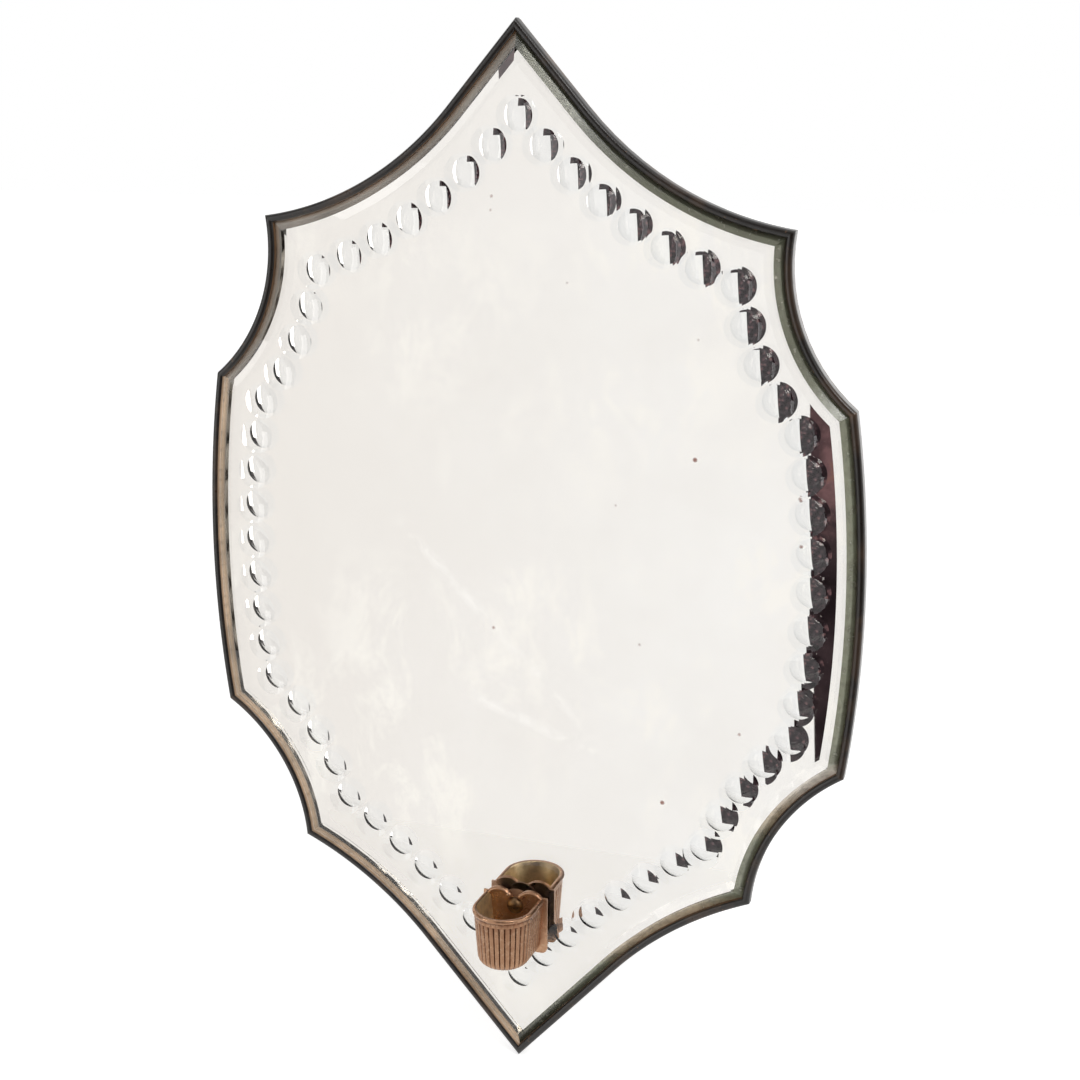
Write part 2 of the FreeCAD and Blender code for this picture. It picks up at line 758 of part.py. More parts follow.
# ---------------------------------------------------------------------------------------------
# Leather washer, bolt, rear washer and square nut
# ---------------------------------------------------------------------------------------------
for label, back, wide, thick in (
    ("glass_washer", GLASS_FRONT, "leather_wide", "leather_thick"),
    ("rear_washer", NUT_FRONT, "washer_wide", "washer_thick"),
):
    washer = new_body(label)
    sketch = new_sketch(washer, label + "_outline", "XZ_Plane", back)
    add_circle(sketch, bolt_centre, size(wide), wide)
    add_circle(sketch, bolt_centre, size("bolt_thick") + 2 * size("bolt_fit"), "bolt_thick + 2 * bolt_fit")
    add_pad(washer, sketch, label + "_pad", thick)
    parts.append(washer)

nut = new_body("cup_nut")
sketch = new_sketch(nut, "nut_outline", "XZ_Plane", NUT_FRONT + " - nut_tall")
half = size("nut_wide") / 2
corners = [Vector(x, bolt_height + z, 0) for x, z in ((-half, -half), (half, -half), (half, half), (-half, half))]
add_curves(sketch, [Part.LineSegment(corners[i], corners[(i + 1) % 4]) for i in range(4)])
add_circle(sketch, bolt_centre, size("bolt_thick") + 2 * size("bolt_fit"), "bolt_thick + 2 * bolt_fit")
add_pad(nut, sketch, "nut_pad", "nut_tall")
parts.append(nut)

# The bolt: its round head lies against the back plate inside the cup, its end just passes the nut
DOME_SHARE = 0.72  # share of the head's height and half width at which its dome passes
bolt = new_body("cup_bolt")
sketch = new_sketch(bolt, "bolt_profile", "YZ_Plane")
bolt_end = size("pocket_deep") - size("washer_thick") - size("nut_tall") - size("bolt_past")
shank = size("bolt_thick") / 2
head = size("head_wide") / 2
head_front = plate_front + size("head_tall")
dome = Vector(-plate_front - size("head_tall") * DOME_SHARE, bolt_height + head * DOME_SHARE, 0)
add_curves(sketch, [
    Part.LineSegment(Vector(-bolt_end, bolt_height, 0), Vector(-bolt_end, bolt_height + shank, 0)),
    Part.LineSegment(Vector(-bolt_end, bolt_height + shank, 0), Vector(-plate_front, bolt_height + shank, 0)),
    Part.LineSegment(Vector(-plate_front, bolt_height + shank, 0), Vector(-plate_front, bolt_height + head, 0)),
    Part.Arc(Vector(-plate_front, bolt_height + head, 0), dome, Vector(-head_front, bolt_height, 0)),
    Part.LineSegment(Vector(-head_front, bolt_height, 0), Vector(-bolt_end, bolt_height, 0)),
])
turned = bolt.newObject("PartDesign::Revolution", "bolt_turned")
turned.Profile = sketch
turned.ReferenceAxis = (sketch, ["Edge5"])
turned.Angle = 360
doc.recompute()
sketch = new_sketch(bolt, "slot_outline", "XZ_Plane")
sketch.AttachmentOffset = Placement(Vector(0, 0, head_front - size("slot_deep")), Rotation())
slot = size("slot_wide") / 2
corners = [Vector(x, bolt_height + z, 0) for x, z in ((-head, -slot), (head, -slot), (head, slot), (-head, slot))]
add_curves(sketch, [Part.LineSegment(corners[i], corners[(i + 1) % 4]) for i in range(4)])
add_pocket(bolt, sketch, "slot", "head_tall", reverse=True)
parts.append(bolt)

# ---------------------------------------------------------------------------------------------
# Hanger: plate with a rolled eye, loose ring, two countersunk screws
# ---------------------------------------------------------------------------------------------
hanger = new_body("hanger_plate")
eye_height = size("hanger_up")
floor = depth(RECESS_FLOOR)
sketch = new_sketch(hanger, "hanger_plate_outline", "XZ_Plane")
sketch.AttachmentOffset = Placement(Vector(0, 0, floor - size("plate_gauge")), Rotation())
half = size("hanger_wide") / 2
end = size("hanger_end")
low = eye_height - size("hanger_long")
add_curves(sketch, [
    Part.LineSegment(Vector(-half, eye_height, 0), Vector(-end, low + end, 0)),
    Part.Arc(Vector(-end, low + end, 0), Vector(0, low, 0), Vector(end, low + end, 0)),
    Part.LineSegment(Vector(end, low + end, 0), Vector(half, eye_height, 0)),
    Part.LineSegment(Vector(half, eye_height, 0), Vector(-half, eye_height, 0)),
])
add_pad(hanger, sketch, "hanger_plate_pad", "plate_gauge")

eye_bore = size("ring_wire") / 2 + size("eye_fit")
eye_outer = eye_bore + size("eye_wall")
sketch = new_sketch(hanger, "eye_outline", "YZ_Plane")
sketch.AttachmentOffset = Placement(Vector(0, 0, -half), Rotation())
# rolled eye: a tube whose outer line runs down into the plate
add_curves(sketch, [
    Part.Arc(Vector(-ring_axis, eye_height - eye_outer, 0), Vector(-ring_axis + eye_outer, eye_height, 0),
             Vector(-ring_axis, eye_height + eye_outer, 0)),
    Part.LineSegment(Vector(-ring_axis, eye_height + eye_outer, 0), Vector(-floor, eye_height + eye_outer, 0)),
    Part.LineSegment(Vector(-floor, eye_height + eye_outer, 0), Vector(-floor, eye_height - eye_outer, 0)),
    Part.LineSegment(Vector(-floor, eye_height - eye_outer, 0), Vector(-ring_axis, eye_height - eye_outer, 0)),
])
add_pad(hanger, sketch, "eye", "hanger_wide")
sketch = new_sketch(hanger, "eye_bore_outline", "YZ_Plane")
add_circle(sketch, Vector(-ring_axis, eye_height, 0), 2 * eye_bore, "ring_wire + 2 * eye_fit")
add_pocket(hanger, sketch, "eye_bore")

# countersunk holes: a cone from the plate's outer face, then the shank's hole
for number, height in enumerate(screw_heights):
    sketch = new_sketch(hanger, "countersink_%d" % number, "YZ_Plane")
    wide = size("screw_head") / 2 + size("screw_fit")
    narrow = size("screw_thick") / 2 + size("screw_fit")
    front = -(floor - size("plate_gauge"))
    add_curves(sketch, [
        Part.LineSegment(Vector(front, height, 0), Vector(front, height + wide, 0)),
        Part.LineSegment(Vector(front, height + wide, 0), Vector(-floor, height + narrow, 0)),
        Part.LineSegment(Vector(-floor, height + narrow, 0), Vector(-floor, height, 0)),
        Part.LineSegment(Vector(-floor, height, 0), Vector(front, height, 0)),
    ])
    before = hanger.Shape.Volume
    sink = hanger.newObject("PartDesign::Groove", "screw_sink_%d" % number)
    sink.Profile = sketch
    sink.ReferenceAxis = (sketch, ["Edge4"])
    sink.Angle = 360
    doc.recompute()
    if hanger.Shape.Volume >= before - 1e-6:
        raise ValueError("the countersink cuts nothing")
parts.append(hanger)

# D-shaped ring, hanging down from the eye
ring = new_body("hanger_ring")
path = new_sketch(ring, "ring_path", "XZ_Plane")
path.AttachmentOffset = Placement(Vector(0, 0, ring_axis), Rotation())
wide = size("ring_wide") / 2
bend = size("ring_corner")
k = bend * (1 - math.sqrt(0.5))
straight = eye_height - (size("ring_tall") - wide)
add_curves(path, [
    Part.LineSegment(Vector(0, eye_height, 0), Vector(wide - bend, eye_height, 0)),
    Part.Arc(Vector(wide - bend, eye_height, 0), Vector(wide - k, eye_height - k, 0),
             Vector(wide, eye_height - bend, 0)),
    Part.LineSegment(Vector(wide, eye_height - bend, 0), Vector(wide, straight, 0)),
    Part.Arc(Vector(wide, straight, 0), Vector(0, straight - wide, 0), Vector(-wide, straight, 0)),
    Part.LineSegment(Vector(-wide, straight, 0), Vector(-wide, eye_height - bend, 0)),
    Part.Arc(Vector(-wide, eye_height - bend, 0), Vector(-wide + k, eye_height - k, 0),
             Vector(-wide + bend, eye_height, 0)),
    Part.LineSegment(Vector(-wide + bend, eye_height, 0), Vector(0, eye_height, 0)),
])
wire_section = new_sketch(ring, "ring_section", "YZ_Plane")
add_circle(wire_section, Vector(-ring_axis, eye_height, 0), size("ring_wire"), "ring_wire")
sweep = ring.newObject("PartDesign::AdditivePipe", "ring_wire_sweep")
sweep.Profile = wire_section
sweep.Spine = path
doc.recompute()
parts.append(ring)

# Screws: countersunk, with a plain shank, one solid each
screw_front = -(floor - size("plate_gauge"))
screw_solids = []
for number, height in enumerate(screw_heights):
    cone = doc.addObject("Part::Cone", "screw_cone_%d" % number)
    bind(cone, "Radius1", "screw_head / 2")
    bind(cone, "Radius2", "screw_thick / 2")
    bind(cone, "Height", "plate_gauge")
    cone.Placement = Placement(Vector(0, screw_front, height), Rotation(Vector(1, 0, 0), 90))
    shaft = doc.addObject("Part::Cylinder", "screw_shaft_%d" % number)
    bind(shaft, "Radius", "screw_thick / 2")
    bind(shaft, "Height", "screw_long")
    shaft.Placement = Placement(Vector(0, screw_front, height), Rotation(Vector(1, 0, 0), 90))
    screw = doc.addObject("Part::Fuse", "screw_%d" % number)
    screw.Base = cone
    screw.Tool = shaft
    screw_solids.append(screw)
screws = doc.addObject("Part::Compound", "hanger_screws")
screws.Label = "hanger_screws"
screws.Links = screw_solids
parts.append(screws)
doc.recompute()

# ---------------------------------------------------------------------------------------------
# Checks and files
# ---------------------------------------------------------------------------------------------
for item in doc.Objects:
    if "Invalid" in item.State or "Error" in item.State:
        raise ValueError("%s failed: %s" % (item.Name, item.State))
os.makedirs("parts", exist_ok=True)
for item in parts:
    shape = item.Shape
    if shape.isNull() or not shape.isValid():
        raise ValueError("%s has no valid shape" % item.Label)
    shape.exportStep("parts/%s.step" % item.Label)
    print("%-20s %2d solid(s) %10.1f mm3" % (item.Label, len(shape.Solids), shape.Volume))
gap = min((a - b).Length for i, a in enumerate(all_centres) for b in all_centres[:i])
print("round cuts: %d, least pitch %.2f mm" % (len(all_centres), gap))
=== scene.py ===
import math

import bmesh
import bpy
from bpy.props import FloatProperty, FloatVectorProperty, IntProperty, PointerProperty
from mathutils import Matrix, Vector


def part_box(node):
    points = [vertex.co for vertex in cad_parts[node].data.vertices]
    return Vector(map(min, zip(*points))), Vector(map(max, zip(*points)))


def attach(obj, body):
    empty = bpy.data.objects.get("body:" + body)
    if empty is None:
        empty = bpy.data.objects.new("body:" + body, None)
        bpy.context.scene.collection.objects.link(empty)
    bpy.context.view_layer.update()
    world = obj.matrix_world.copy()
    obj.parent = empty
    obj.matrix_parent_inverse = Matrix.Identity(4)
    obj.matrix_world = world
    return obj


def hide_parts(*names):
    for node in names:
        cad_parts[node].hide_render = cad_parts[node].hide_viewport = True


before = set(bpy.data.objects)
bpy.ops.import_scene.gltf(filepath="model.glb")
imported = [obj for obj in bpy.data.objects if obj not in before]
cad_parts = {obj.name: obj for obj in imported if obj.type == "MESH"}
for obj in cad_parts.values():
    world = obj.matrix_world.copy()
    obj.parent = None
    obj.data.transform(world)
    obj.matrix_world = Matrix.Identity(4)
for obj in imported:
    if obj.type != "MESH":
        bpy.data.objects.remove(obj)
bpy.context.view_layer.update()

bl_info = {
    "name": "Girandole mirror",
    "version": (1, 0, 0),
    "blender": (4, 5, 0),
    "location": "3D View > Sidebar > Mirror",
    "description": "Glass with round cuts, black edge beads, fluted candle cup and their finishes",
    "category": "Object",
}

MIRROR = "mirror"
EDGES = ("top", "shoulder", "side", "hip", "foot")
SILVER_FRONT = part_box("silvering")[0].y
GLASS_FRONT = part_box("mirror_glass")[0].y
BOARD_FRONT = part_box("backboard")[0].y
BEAD_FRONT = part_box("edge_side_right")[0].y
PLATE_LOW, PLATE_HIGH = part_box("cup_back_plate")
CUP_LOW, CUP_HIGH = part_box("candle_cup")
BOLT_LOW, BOLT_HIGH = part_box("cup_bolt")
BOLT_HEIGHT = (BOLT_LOW.z + BOLT_HIGH.z) / 2
MM = 0.001
OUTLINE_STEP = 0.002
GLASS_INDEX = 1.52
# material slots of the glass plate after the plain glass: painted shade and painted light on the facets, then
# the cuts
SHADED, LIT, CUT = 1, 2, 3
# depth of a bead's flank, from its front, that the pale finish's painted light spreads over
FLANK = 0.0056
# height that the shaded facet's painted reflections are spread over, a little more than the mirror's
TONE_HEIGHT = 0.52
# each scratch: slope in degrees, height where it crosses the middle, its ends along itself, width
STREAKS = ((44.5, -0.0284, -0.069, 0.094, 0.0022), (18.7, -0.0688, -0.025, 0.090, 0.0018))
# the cup plate's hole, and the radius about the bolt inside which no edge is rounded
PLATE_HOLE, HOLE_CLEAR = 0.00256, 0.004
FLOOR_GAP, FLOOR_GLOW = 0.0004, 0.62
# how far in front of the mirror the floor that it reflects ends
NEAR_EDGE = 0.26
KEY_PLACE, KEY_SIZE = (0.9, -0.9, 1.1), (0.6, 0.6)
WINDOW_PLACE, WINDOW_SIZE = (-1.32, -1.05, 0.15), (0.45, 1.3)
# dark cards of the room: width, height, place, the axis and angle that stand it up, lean
ROOM = {
    "room_right": (5.0, 5.0, (2.247, -2.01, -0.5), ("X", math.pi / 2), math.radians(-3)),
    "room_above": (5.0, 3.0, (1.76, -2.0, 2.12), ("X", math.pi / 2), 0.0),
    "room_left": (5.0, 1.6, (-1.75, -0.80, 0.0), ("Y", math.pi / 2), 0.0),
}


# ------------------------------
# Sizes and colours
# ------------------------------
def length(name, default, description):
    return FloatProperty(
        name=name, default=default, description=description, unit="LENGTH", precision=5
    )


def angle(name, default, description):
    return FloatProperty(
        name=name, default=math.radians(default), description=description, subtype="ANGLE"
    )


def colour(name, default, description):
    return FloatVectorProperty(
        name=name, default=default, description=description, subtype="COLOR", size=3, min=0.0, max=1.0
    )


class OutlineSizes(bpy.types.PropertyGroup):
    """Right half of the black edge's outer line."""

    top_tip: length("Top tip", 0.2595, "Height of the top tip above the middle")
    top_angle: angle("Top angle", 41.3, "Slope of the edge at the top tip")
    top_curve: length("Top curve", 0.1575, "Radius of the hollow top edge")
    shoulder_out: length("Shoulder out", 0.1304, "Distance of the shoulder corner from the middle")
    shoulder_up: length("Shoulder up", 0.1690, "Height of the shoulder corner")
    shoulder_hollow: length("Shoulder hollow", 0.0113, "Depth of the hollow below the shoulder")
    side_top_out: length("Side top out", 0.1606, "Distance of the side's upper corner from the middle")
    side_top_up: length("Side top up", 0.0906, "Height of the side's upper corner")
    side_bow: length("Side bow", 0.0064, "Bow of the long side")
    side_foot_out: length("Side foot out", 0.1620, "Distance of the side's lower corner from the middle")
    side_foot_down: length("Side foot down", 0.0823, "Drop of the side's lower corner")
    hip_hollow: length("Hip hollow", 0.0097, "Depth of the hollow above the hip")
    hip_out: length("Hip out", 0.1193, "Distance of the hip corner from the middle")
    hip_down: length("Hip down", 0.1528, "Drop of the hip corner")
    foot_curve: length("Foot curve", 0.1850, "Radius of the hollow foot edge")
    foot_angle: angle("Foot angle", 41.8, "Slope of the edge at the foot tip")
    foot_tip: length("Foot tip", 0.2585, "Drop of the foot tip")


class BeadSizes(bpy.types.PropertyGroup):
    """Black half-round bead along the edge."""

    width: length("Bead width", 0.0038, "Width of the bead")
    round_depth: length("Round depth", 0.0017, "How far the bead's front is rounded")
    colour: colour("Bead colour", (0.012, 0.009, 0.007), "Black stain of the bead")
    worn: colour("Worn colour", (0.16, 0.085, 0.04), "Brown wood where the stain is rubbed off")


class GlassSizes(bpy.types.PropertyGroup):
    """Glass plate with its two slopes and round cuts."""

    inset: length("Glass inset", 0.00385, "Distance of the glass from the outer line")
    facet_width: length("Facet width", 0.00435, "Width of the ground facet along the edge")
    facet_drop: length("Facet drop", 0.0026, "Drop of the ground facet")
    bevel_width: length("Bevel width", 0.0041, "Width of the bevel inside the facet")
    bevel_drop: length("Bevel drop", 0.0012, "Drop of the bevel")
    hole: length("Bolt hole", 0.0070, "Width of the bolt hole")
    rear_gap: length("Rear gap", 0.00002, "Gap to the silvering")
    cut_width: length("Cut width", 0.0177, "Width of a round cut")
    cut_deep: length("Cut depth", 0.0017, "Depth of a round cut")
    cut_pitch: length("Cut pitch", 0.0183, "Distance of the round cuts")
    colour: colour("Glass colour", (0.985, 0.976, 0.962), "Tint of the plain glass")
    cut_colour: colour("Cut colour", (0.975, 0.985, 0.99), "Tint of the round cuts")
    shade_colour: colour("Shaded facet", (0.21, 0.22, 0.15), "Olive of the facets on the right")
    lit_colour: colour("Lit facet", (0.98, 0.91, 0.80), "Cream of the facets on the left")


class CutLine(bpy.types.PropertyGroup):
    """Points that carry the line of round cuts, set in from the outline's corners."""

    below_top: length("Below top", 0.0424, "First cut below the top tip")
    top_hollow: length("Top hollow", 0.0076, "Hollow of the line along the top edge")
    in_shoulder: length("In from shoulder", 0.0262, "Corner cut in from the shoulder")
    below_shoulder: length("Below shoulder", 0.0257, "Corner cut below the shoulder")
    shoulder_hollow: length("Shoulder hollow", 0.0050, "Hollow of the line below the shoulder")
    in_side_top: length("In from side top", 0.0248, "Corner cut in from the side's upper corner")
    below_side_top: length("Below side top", 0.0136, "Corner cut below the side's upper corner")
    side_bow: length("Side bow", 0.0069, "Bow of the line along the side")
    in_side_foot: length("In from side foot", 0.0260, "Corner cut in from the side's lower corner")
    above_side_foot: length("Above side foot", 0.0155, "Corner cut above the side's lower corner")
    hip_hollow: length("Hip hollow", 0.0040, "Hollow of the line above the hip")
    in_hip: length("In from hip", 0.0239, "Corner cut in from the hip")
    above_hip: length("Above hip", 0.0245, "Corner cut above the hip")
    foot_hollow: length("Foot hollow", 0.0038, "Hollow of the line along the foot edge")
    above_foot: length("Above foot", 0.0447, "Last cut above the foot tip")


class CupSizes(bpy.types.PropertyGroup):
    """Fluted candle cup and its back plate."""

    half: length("Half width", 0.0149, "Half width of the cup below its lip")
    taper: length("Taper", 0.0015, "How much narrower the cup is at its foot")
    lip_over: length("Lip over", 0.0009, "How far the lip stands out")
    lip_tall: length("Lip height", 0.0020, "Height of the lip")
    band_tall: length("Band height", 0.0026, "Height of the plain band")
    foot_round: length("Foot round", 0.0055, "Rounding at the cup's foot")
    rim_wall: length("Rim wall", 0.0016, "Thickness of the wall below the lip")
    foot_wall: length("Foot wall", 0.0020, "Thickness of the wall at the floor")
    floor: length("Floor", 0.0020, "Thickness of the floor")
    reed_rise: length("Reed rise", 0.00075, "How far a reed stands out")
    front_reeds: IntProperty(name="Front reeds", default=16, description="Reeds on the round front", min=4)
    side_reeds: IntProperty(name="Side reeds", default=5, description="Reeds on each side", min=1)
    lobe_rise: length("Lobe rise", 0.0030, "Height of the plate's lobes above the rim")
    lobe_notch: length("Lobe notch", 0.0050, "Width of the notch between the lobes")
    lobe_edge: length("Lobe edge", 0.0026, "Flat edge outside each lobe")
    notch_dip: length("Notch dip", 0.0015, "Depth of the notch")
    roll_radius: length("Roll radius", 0.0011, "Radius of the rolled edge along a lobe")
    plate_corner: length("Plate corner", 0.0030, "Rounding of the plate's lower corners")
    reed_colour: colour("Reed colour", (0.50, 0.285, 0.17), "Rubbed brass on the reeds")
    groove_colour: colour("Groove colour", (0.09, 0.036, 0.018), "Dirt and patina in the grooves")
    inside_colour: colour("Inside colour", (0.98, 0.74, 0.42), "Golden brass inside the cup")


class StageSizes(bpy.types.PropertyGroup):
    """Floor, lamps and camera."""

    camera_place: FloatVectorProperty(
        name="Camera place", default=(0.29587, -0.77891, 0.23347), description="Where the camera stands",
        subtype="TRANSLATION", unit="LENGTH", size=3,
    )
    camera_aim: FloatVectorProperty(
        name="Camera aim", default=(0.01254, -0.0131, 0.01994), description="Point the camera looks at",
        subtype="TRANSLATION", unit="LENGTH", size=3,
    )
    lens: FloatProperty(name="Lens", default=58.95, description="Focal length in millimetres", min=1.0)
    key_power: FloatProperty(
        name="Key lamp", default=9.0, description="Power of the large lamp", unit="POWER"
    )
    fill_power: FloatProperty(
        name="Fill lamp", default=4.0, description="Power of the fill lamp", unit="POWER"
    )
    surround: FloatProperty(
        name="Surround", default=0.55, description="Strength of the even light", min=0.0
    )


# ------------------------------
# Lines of the outline and of the round cuts
# ------------------------------
def flat(x, z):
    """A point in the plane of the glass."""
    return Vector((x, 0.0, z))


def bowed_centre(start, end, bow, side):
    """Centre of the arc that bows a given depth off its chord; side +1 puts it left of the chord."""
    chord = end - start
    radius = (chord.length ** 2 / 4 + bow ** 2) / (2 * bow)
    normal = flat(-chord.z, chord.x).normalized()
    return (start + end) / 2 + normal * side * (radius - bow)


def tangent_arc(tip, corner, slope, radius, up):
    """Straight line from the tip, then an arc tangent to it that ends in the corner."""
    along = flat(math.sin(slope), -up * math.cos(slope))
    outward = flat(math.cos(slope), up * math.sin(slope))
    reach = (corner - tip).dot(along)
    rise = (corner - tip).dot(outward)
    straight = reach - math.sqrt(radius ** 2 - (rise - radius) ** 2)
    joint = tip + along * straight
    return joint, outward, joint + outward * radius


def meet(centre_a, radius_a, centre_b, radius_b, near):
    """Crossing of two circles that lies nearest to a point."""
    between = centre_b - centre_a
    gap = between.length
    along = (radius_a ** 2 - radius_b ** 2 + gap ** 2) / (2 * gap)
    across = math.sqrt(radius_a ** 2 - along ** 2)
    axis = between.normalized()
    foot = centre_a + axis * along
    normal = flat(-axis.z, axis.x)
    return min((foot + normal * across, foot - normal * across), key=lambda point: (point - near).length)


def outline(sizes, inset):
    """Right half of the outline at an inset: for each edge its runs, as (start, end, centre or None)."""
    top = flat(0, sizes.top_tip)
    foot = flat(0, -sizes.foot_tip)
    shoulder = flat(sizes.shoulder_out, sizes.shoulder_up)
    side_top = flat(sizes.side_top_out, sizes.side_top_up)
    side_foot = flat(sizes.side_foot_out, -sizes.side_foot_down)
    hip = flat(sizes.hip_out, -sizes.hip_down)

    top_joint, top_out, top_centre = tangent_arc(top, shoulder, sizes.top_angle, sizes.top_curve, 1)
    foot_joint, foot_out, foot_centre = tangent_arc(foot, hip, sizes.foot_angle, sizes.foot_curve, -1)
    shoulder_centre = bowed_centre(shoulder, side_top, sizes.shoulder_hollow, 1)
    side_centre = bowed_centre(side_top, side_foot, sizes.side_bow, -1)
    hip_centre = bowed_centre(side_foot, hip, sizes.hip_hollow, 1)

    top_radius = sizes.top_curve + inset
    shoulder_radius = (shoulder - shoulder_centre).length + inset
    side_radius = (side_top - side_centre).length - inset
    hip_radius = (hip - hip_centre).length + inset
    foot_radius = sizes.foot_curve + inset

    top_end = flat(0, top.z - inset / math.sin(sizes.top_angle))
    foot_end = flat(0, foot.z + inset / math.sin(sizes.foot_angle))
    top_joint = top_joint - top_out * inset
    foot_joint = foot_joint - foot_out * inset
    shoulder = meet(top_centre, top_radius, shoulder_centre, shoulder_radius, shoulder)
    side_top = meet(shoulder_centre, shoulder_radius, side_centre, side_radius, side_top)
    side_foot = meet(side_centre, side_radius, hip_centre, hip_radius, side_foot)
    hip = meet(hip_centre, hip_radius, foot_centre, foot_radius, hip)
    return {
        "top": [(top_end, top_joint, None), (top_joint, shoulder, top_centre)],
        "shoulder": [(shoulder, side_top, shoulder_centre)],
        "side": [(side_top, side_foot, side_centre)],
        "hip": [(side_foot, hip, hip_centre)],
        "foot": [(hip, foot_joint, foot_centre), (foot_joint, foot_end, None)],
    }


def turn_of(start, end, centre):
    """Signed angle about +Y that carries the start round the centre to the end, the short way."""
    first, last = start - centre, end - centre
    return math.atan2(first.z * last.x - first.x * last.z, first.x * last.x + first.z * last.z)


def run_length(start, end, centre):
    """Length of a run, straight or round."""
    if centre is None:
        return (end - start).length
    return abs(turn_of(start, end, centre)) * (start - centre).length


def steps_of(run, step):
    """Number of steps along a run: at least one on a straight run, two on an arc."""
    return max(1 if run[2] is None else 2, round(run_length(*run) / step))


def heading(run, point):
    """Direction of travel along a run at one of its points."""
    start, end, centre = run
    if centre is None:
        return (end - start).normalized()
    quarter = math.copysign(math.pi / 2, turn_of(*run))
    return (Matrix.Rotation(quarter, 3, "Y") @ (point - centre)).normalized()


def cut_runs(sizes, line):
    """The five arcs that carry the right half's round cuts."""
    top = flat(0, sizes.top_tip - line.below_top)
    shoulder = flat(sizes.shoulder_out - line.in_shoulder, sizes.shoulder_up - line.below_shoulder)
    side_top = flat(sizes.side_top_out - line.in_side_top, sizes.side_top_up - line.below_side_top)
    side_foot = flat(sizes.side_foot_out - line.in_side_foot, line.above_side_foot - sizes.side_foot_down)
    hip = flat(sizes.hip_out - line.in_hip, line.above_hip - sizes.hip_down)
    foot = flat(0, line.above_foot - sizes.foot_tip)
    return [(start, end, bowed_centre(start, end, bow, side)) for start, end, bow, side in (
        (top, shoulder, line.top_hollow, 1),
        (shoulder, side_top, line.shoulder_hollow, 1),
        (side_top, side_foot, line.side_bow, -1),
        (side_foot, hip, line.hip_hollow, 1),
        (hip, foot, line.foot_hollow, 1),
    )]


def point_along(runs, travel):
    """Point at a distance along a chain of arcs."""
    for run in runs:
        reach = run_length(*run)
        if travel <= reach or run is runs[-1]:
            turn = turn_of(*run) * min(travel / reach, 1.0)
            return run[2] + Matrix.Rotation(turn, 3, "Y") @ (run[0] - run[2])
        travel -= reach


def cut_centres(sizes, line, pitch):
    """Centres of the right half's cuts, stepped off with a compass from the top to the foot."""
    runs = cut_runs(sizes, line)
    total = sum(run_length(*run) for run in runs)
    count = round(total / pitch)
    short, long = 0.5 * pitch, 1.5 * pitch
    for _ in range(30):
        stride = (short + long) / 2
        travels = [0.0]
        for _ in range(count):
            here = point_along(runs, travels[-1])
            low, high = travels[-1], travels[-1] + 2 * stride
            for _ in range(30):
                middle = (low + high) / 2
                reach = (point_along(runs, middle) - here).length + max(0.0, middle - total)
                low, high = (middle, high) if reach < stride else (low, middle)
            travels.append((low + high) / 2)
        short, long = (stride, long) if travels[-1] < total else (short, stride)
    return [point_along(runs, travel) for travel in travels[:-1]] + [runs[-1][1]]


# ------------------------------
# Mesh helpers
# ------------------------------
def edges_of(result):
    return [item for item in result if isinstance(item, bmesh.types.BMEdge)]


def verts_of(result):
    return [item for item in result if isinstance(item, bmesh.types.BMVert)]


def spin(bm, geom, centre, axis, turn, steps, **options):
    """Carry vertices, edges or faces round an axis; returns the last copy's vertices."""
    made = bmesh.ops.spin(
        bm, geom=geom, cent=centre, axis=axis, angle=turn, steps=steps, use_duplicate=False, **options
    )
    return verts_of(made["geom_last"])


def extend(bm, vert, move=(0, 0, 0)):
    """Draw an edge from a vertex; returns the edge's new end."""
    vert = bmesh.ops.extrude_vert_indiv(bm, verts=[vert])["verts"][0]
    bmesh.ops.translate(bm, verts=[vert], vec=move)
    return vert


def draw_run(bm, vert, run, count):
    """Carry a vertex along one run in a number of steps; returns its last vertex."""
    start, end, centre = run
    if centre is None:
        for _ in range(count):
            vert = extend(bm, vert, (end - start) / count)
        return vert
    return spin(bm, [vert], (centre.x, vert.co.y, centre.z), (0, 1, 0), turn_of(*run), count)[0]


def bolt_ring(bm, depth, radius):
    """Circle about the bolt at a depth; returns its edges."""
    made = bmesh.ops.create_circle(
        bm, cap_ends=False, segments=32, radius=radius,
        matrix=Matrix.Translation((0, depth, BOLT_HEIGHT)) @ Matrix.Rotation(math.pi / 2, 4, "X"),
    )
    return list({edge for vert in made["verts"] for edge in vert.link_edges})


def fill(bm, edges, facing):
    """Close the room between loops of edges; returns the new faces."""
    made = bmesh.ops.triangle_fill(bm, use_beauty=True, edges=edges, normal=facing)["geom"]
    return [item for item in made if isinstance(item, bmesh.types.BMFace)]


def rotate(bm, verts, turn, axis="Y"):
    """Turn vertices about an axis of the frame."""
    bmesh.ops.rotate(bm, verts=verts, cent=(0, 0, 0), matrix=Matrix.Rotation(turn, 3, axis))


def finish_mesh(bm, name, materials, smooth_angle):
    """A mirror piece from a bmesh: closed, faces outwards, smooth up to an angle."""
    bmesh.ops.remove_doubles(bm, verts=bm.verts, dist=1e-7)
    bmesh.ops.recalc_face_normals(bm, faces=bm.faces)
    for face in bm.faces:
        face.smooth = True
    for edge in bm.edges:
        if len(edge.link_faces) == 2 and edge.calc_face_angle(0.0) > smooth_angle:
            edge.smooth = False
    mesh = bpy.data.meshes.new(name)
    bm.to_mesh(mesh)
    bm.free()
    for material in materials:
        mesh.materials.append(material)
    piece = bpy.data.objects.new(name, mesh)
    bpy.context.scene.collection.objects.link(piece)
    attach(piece, MIRROR)
    return piece


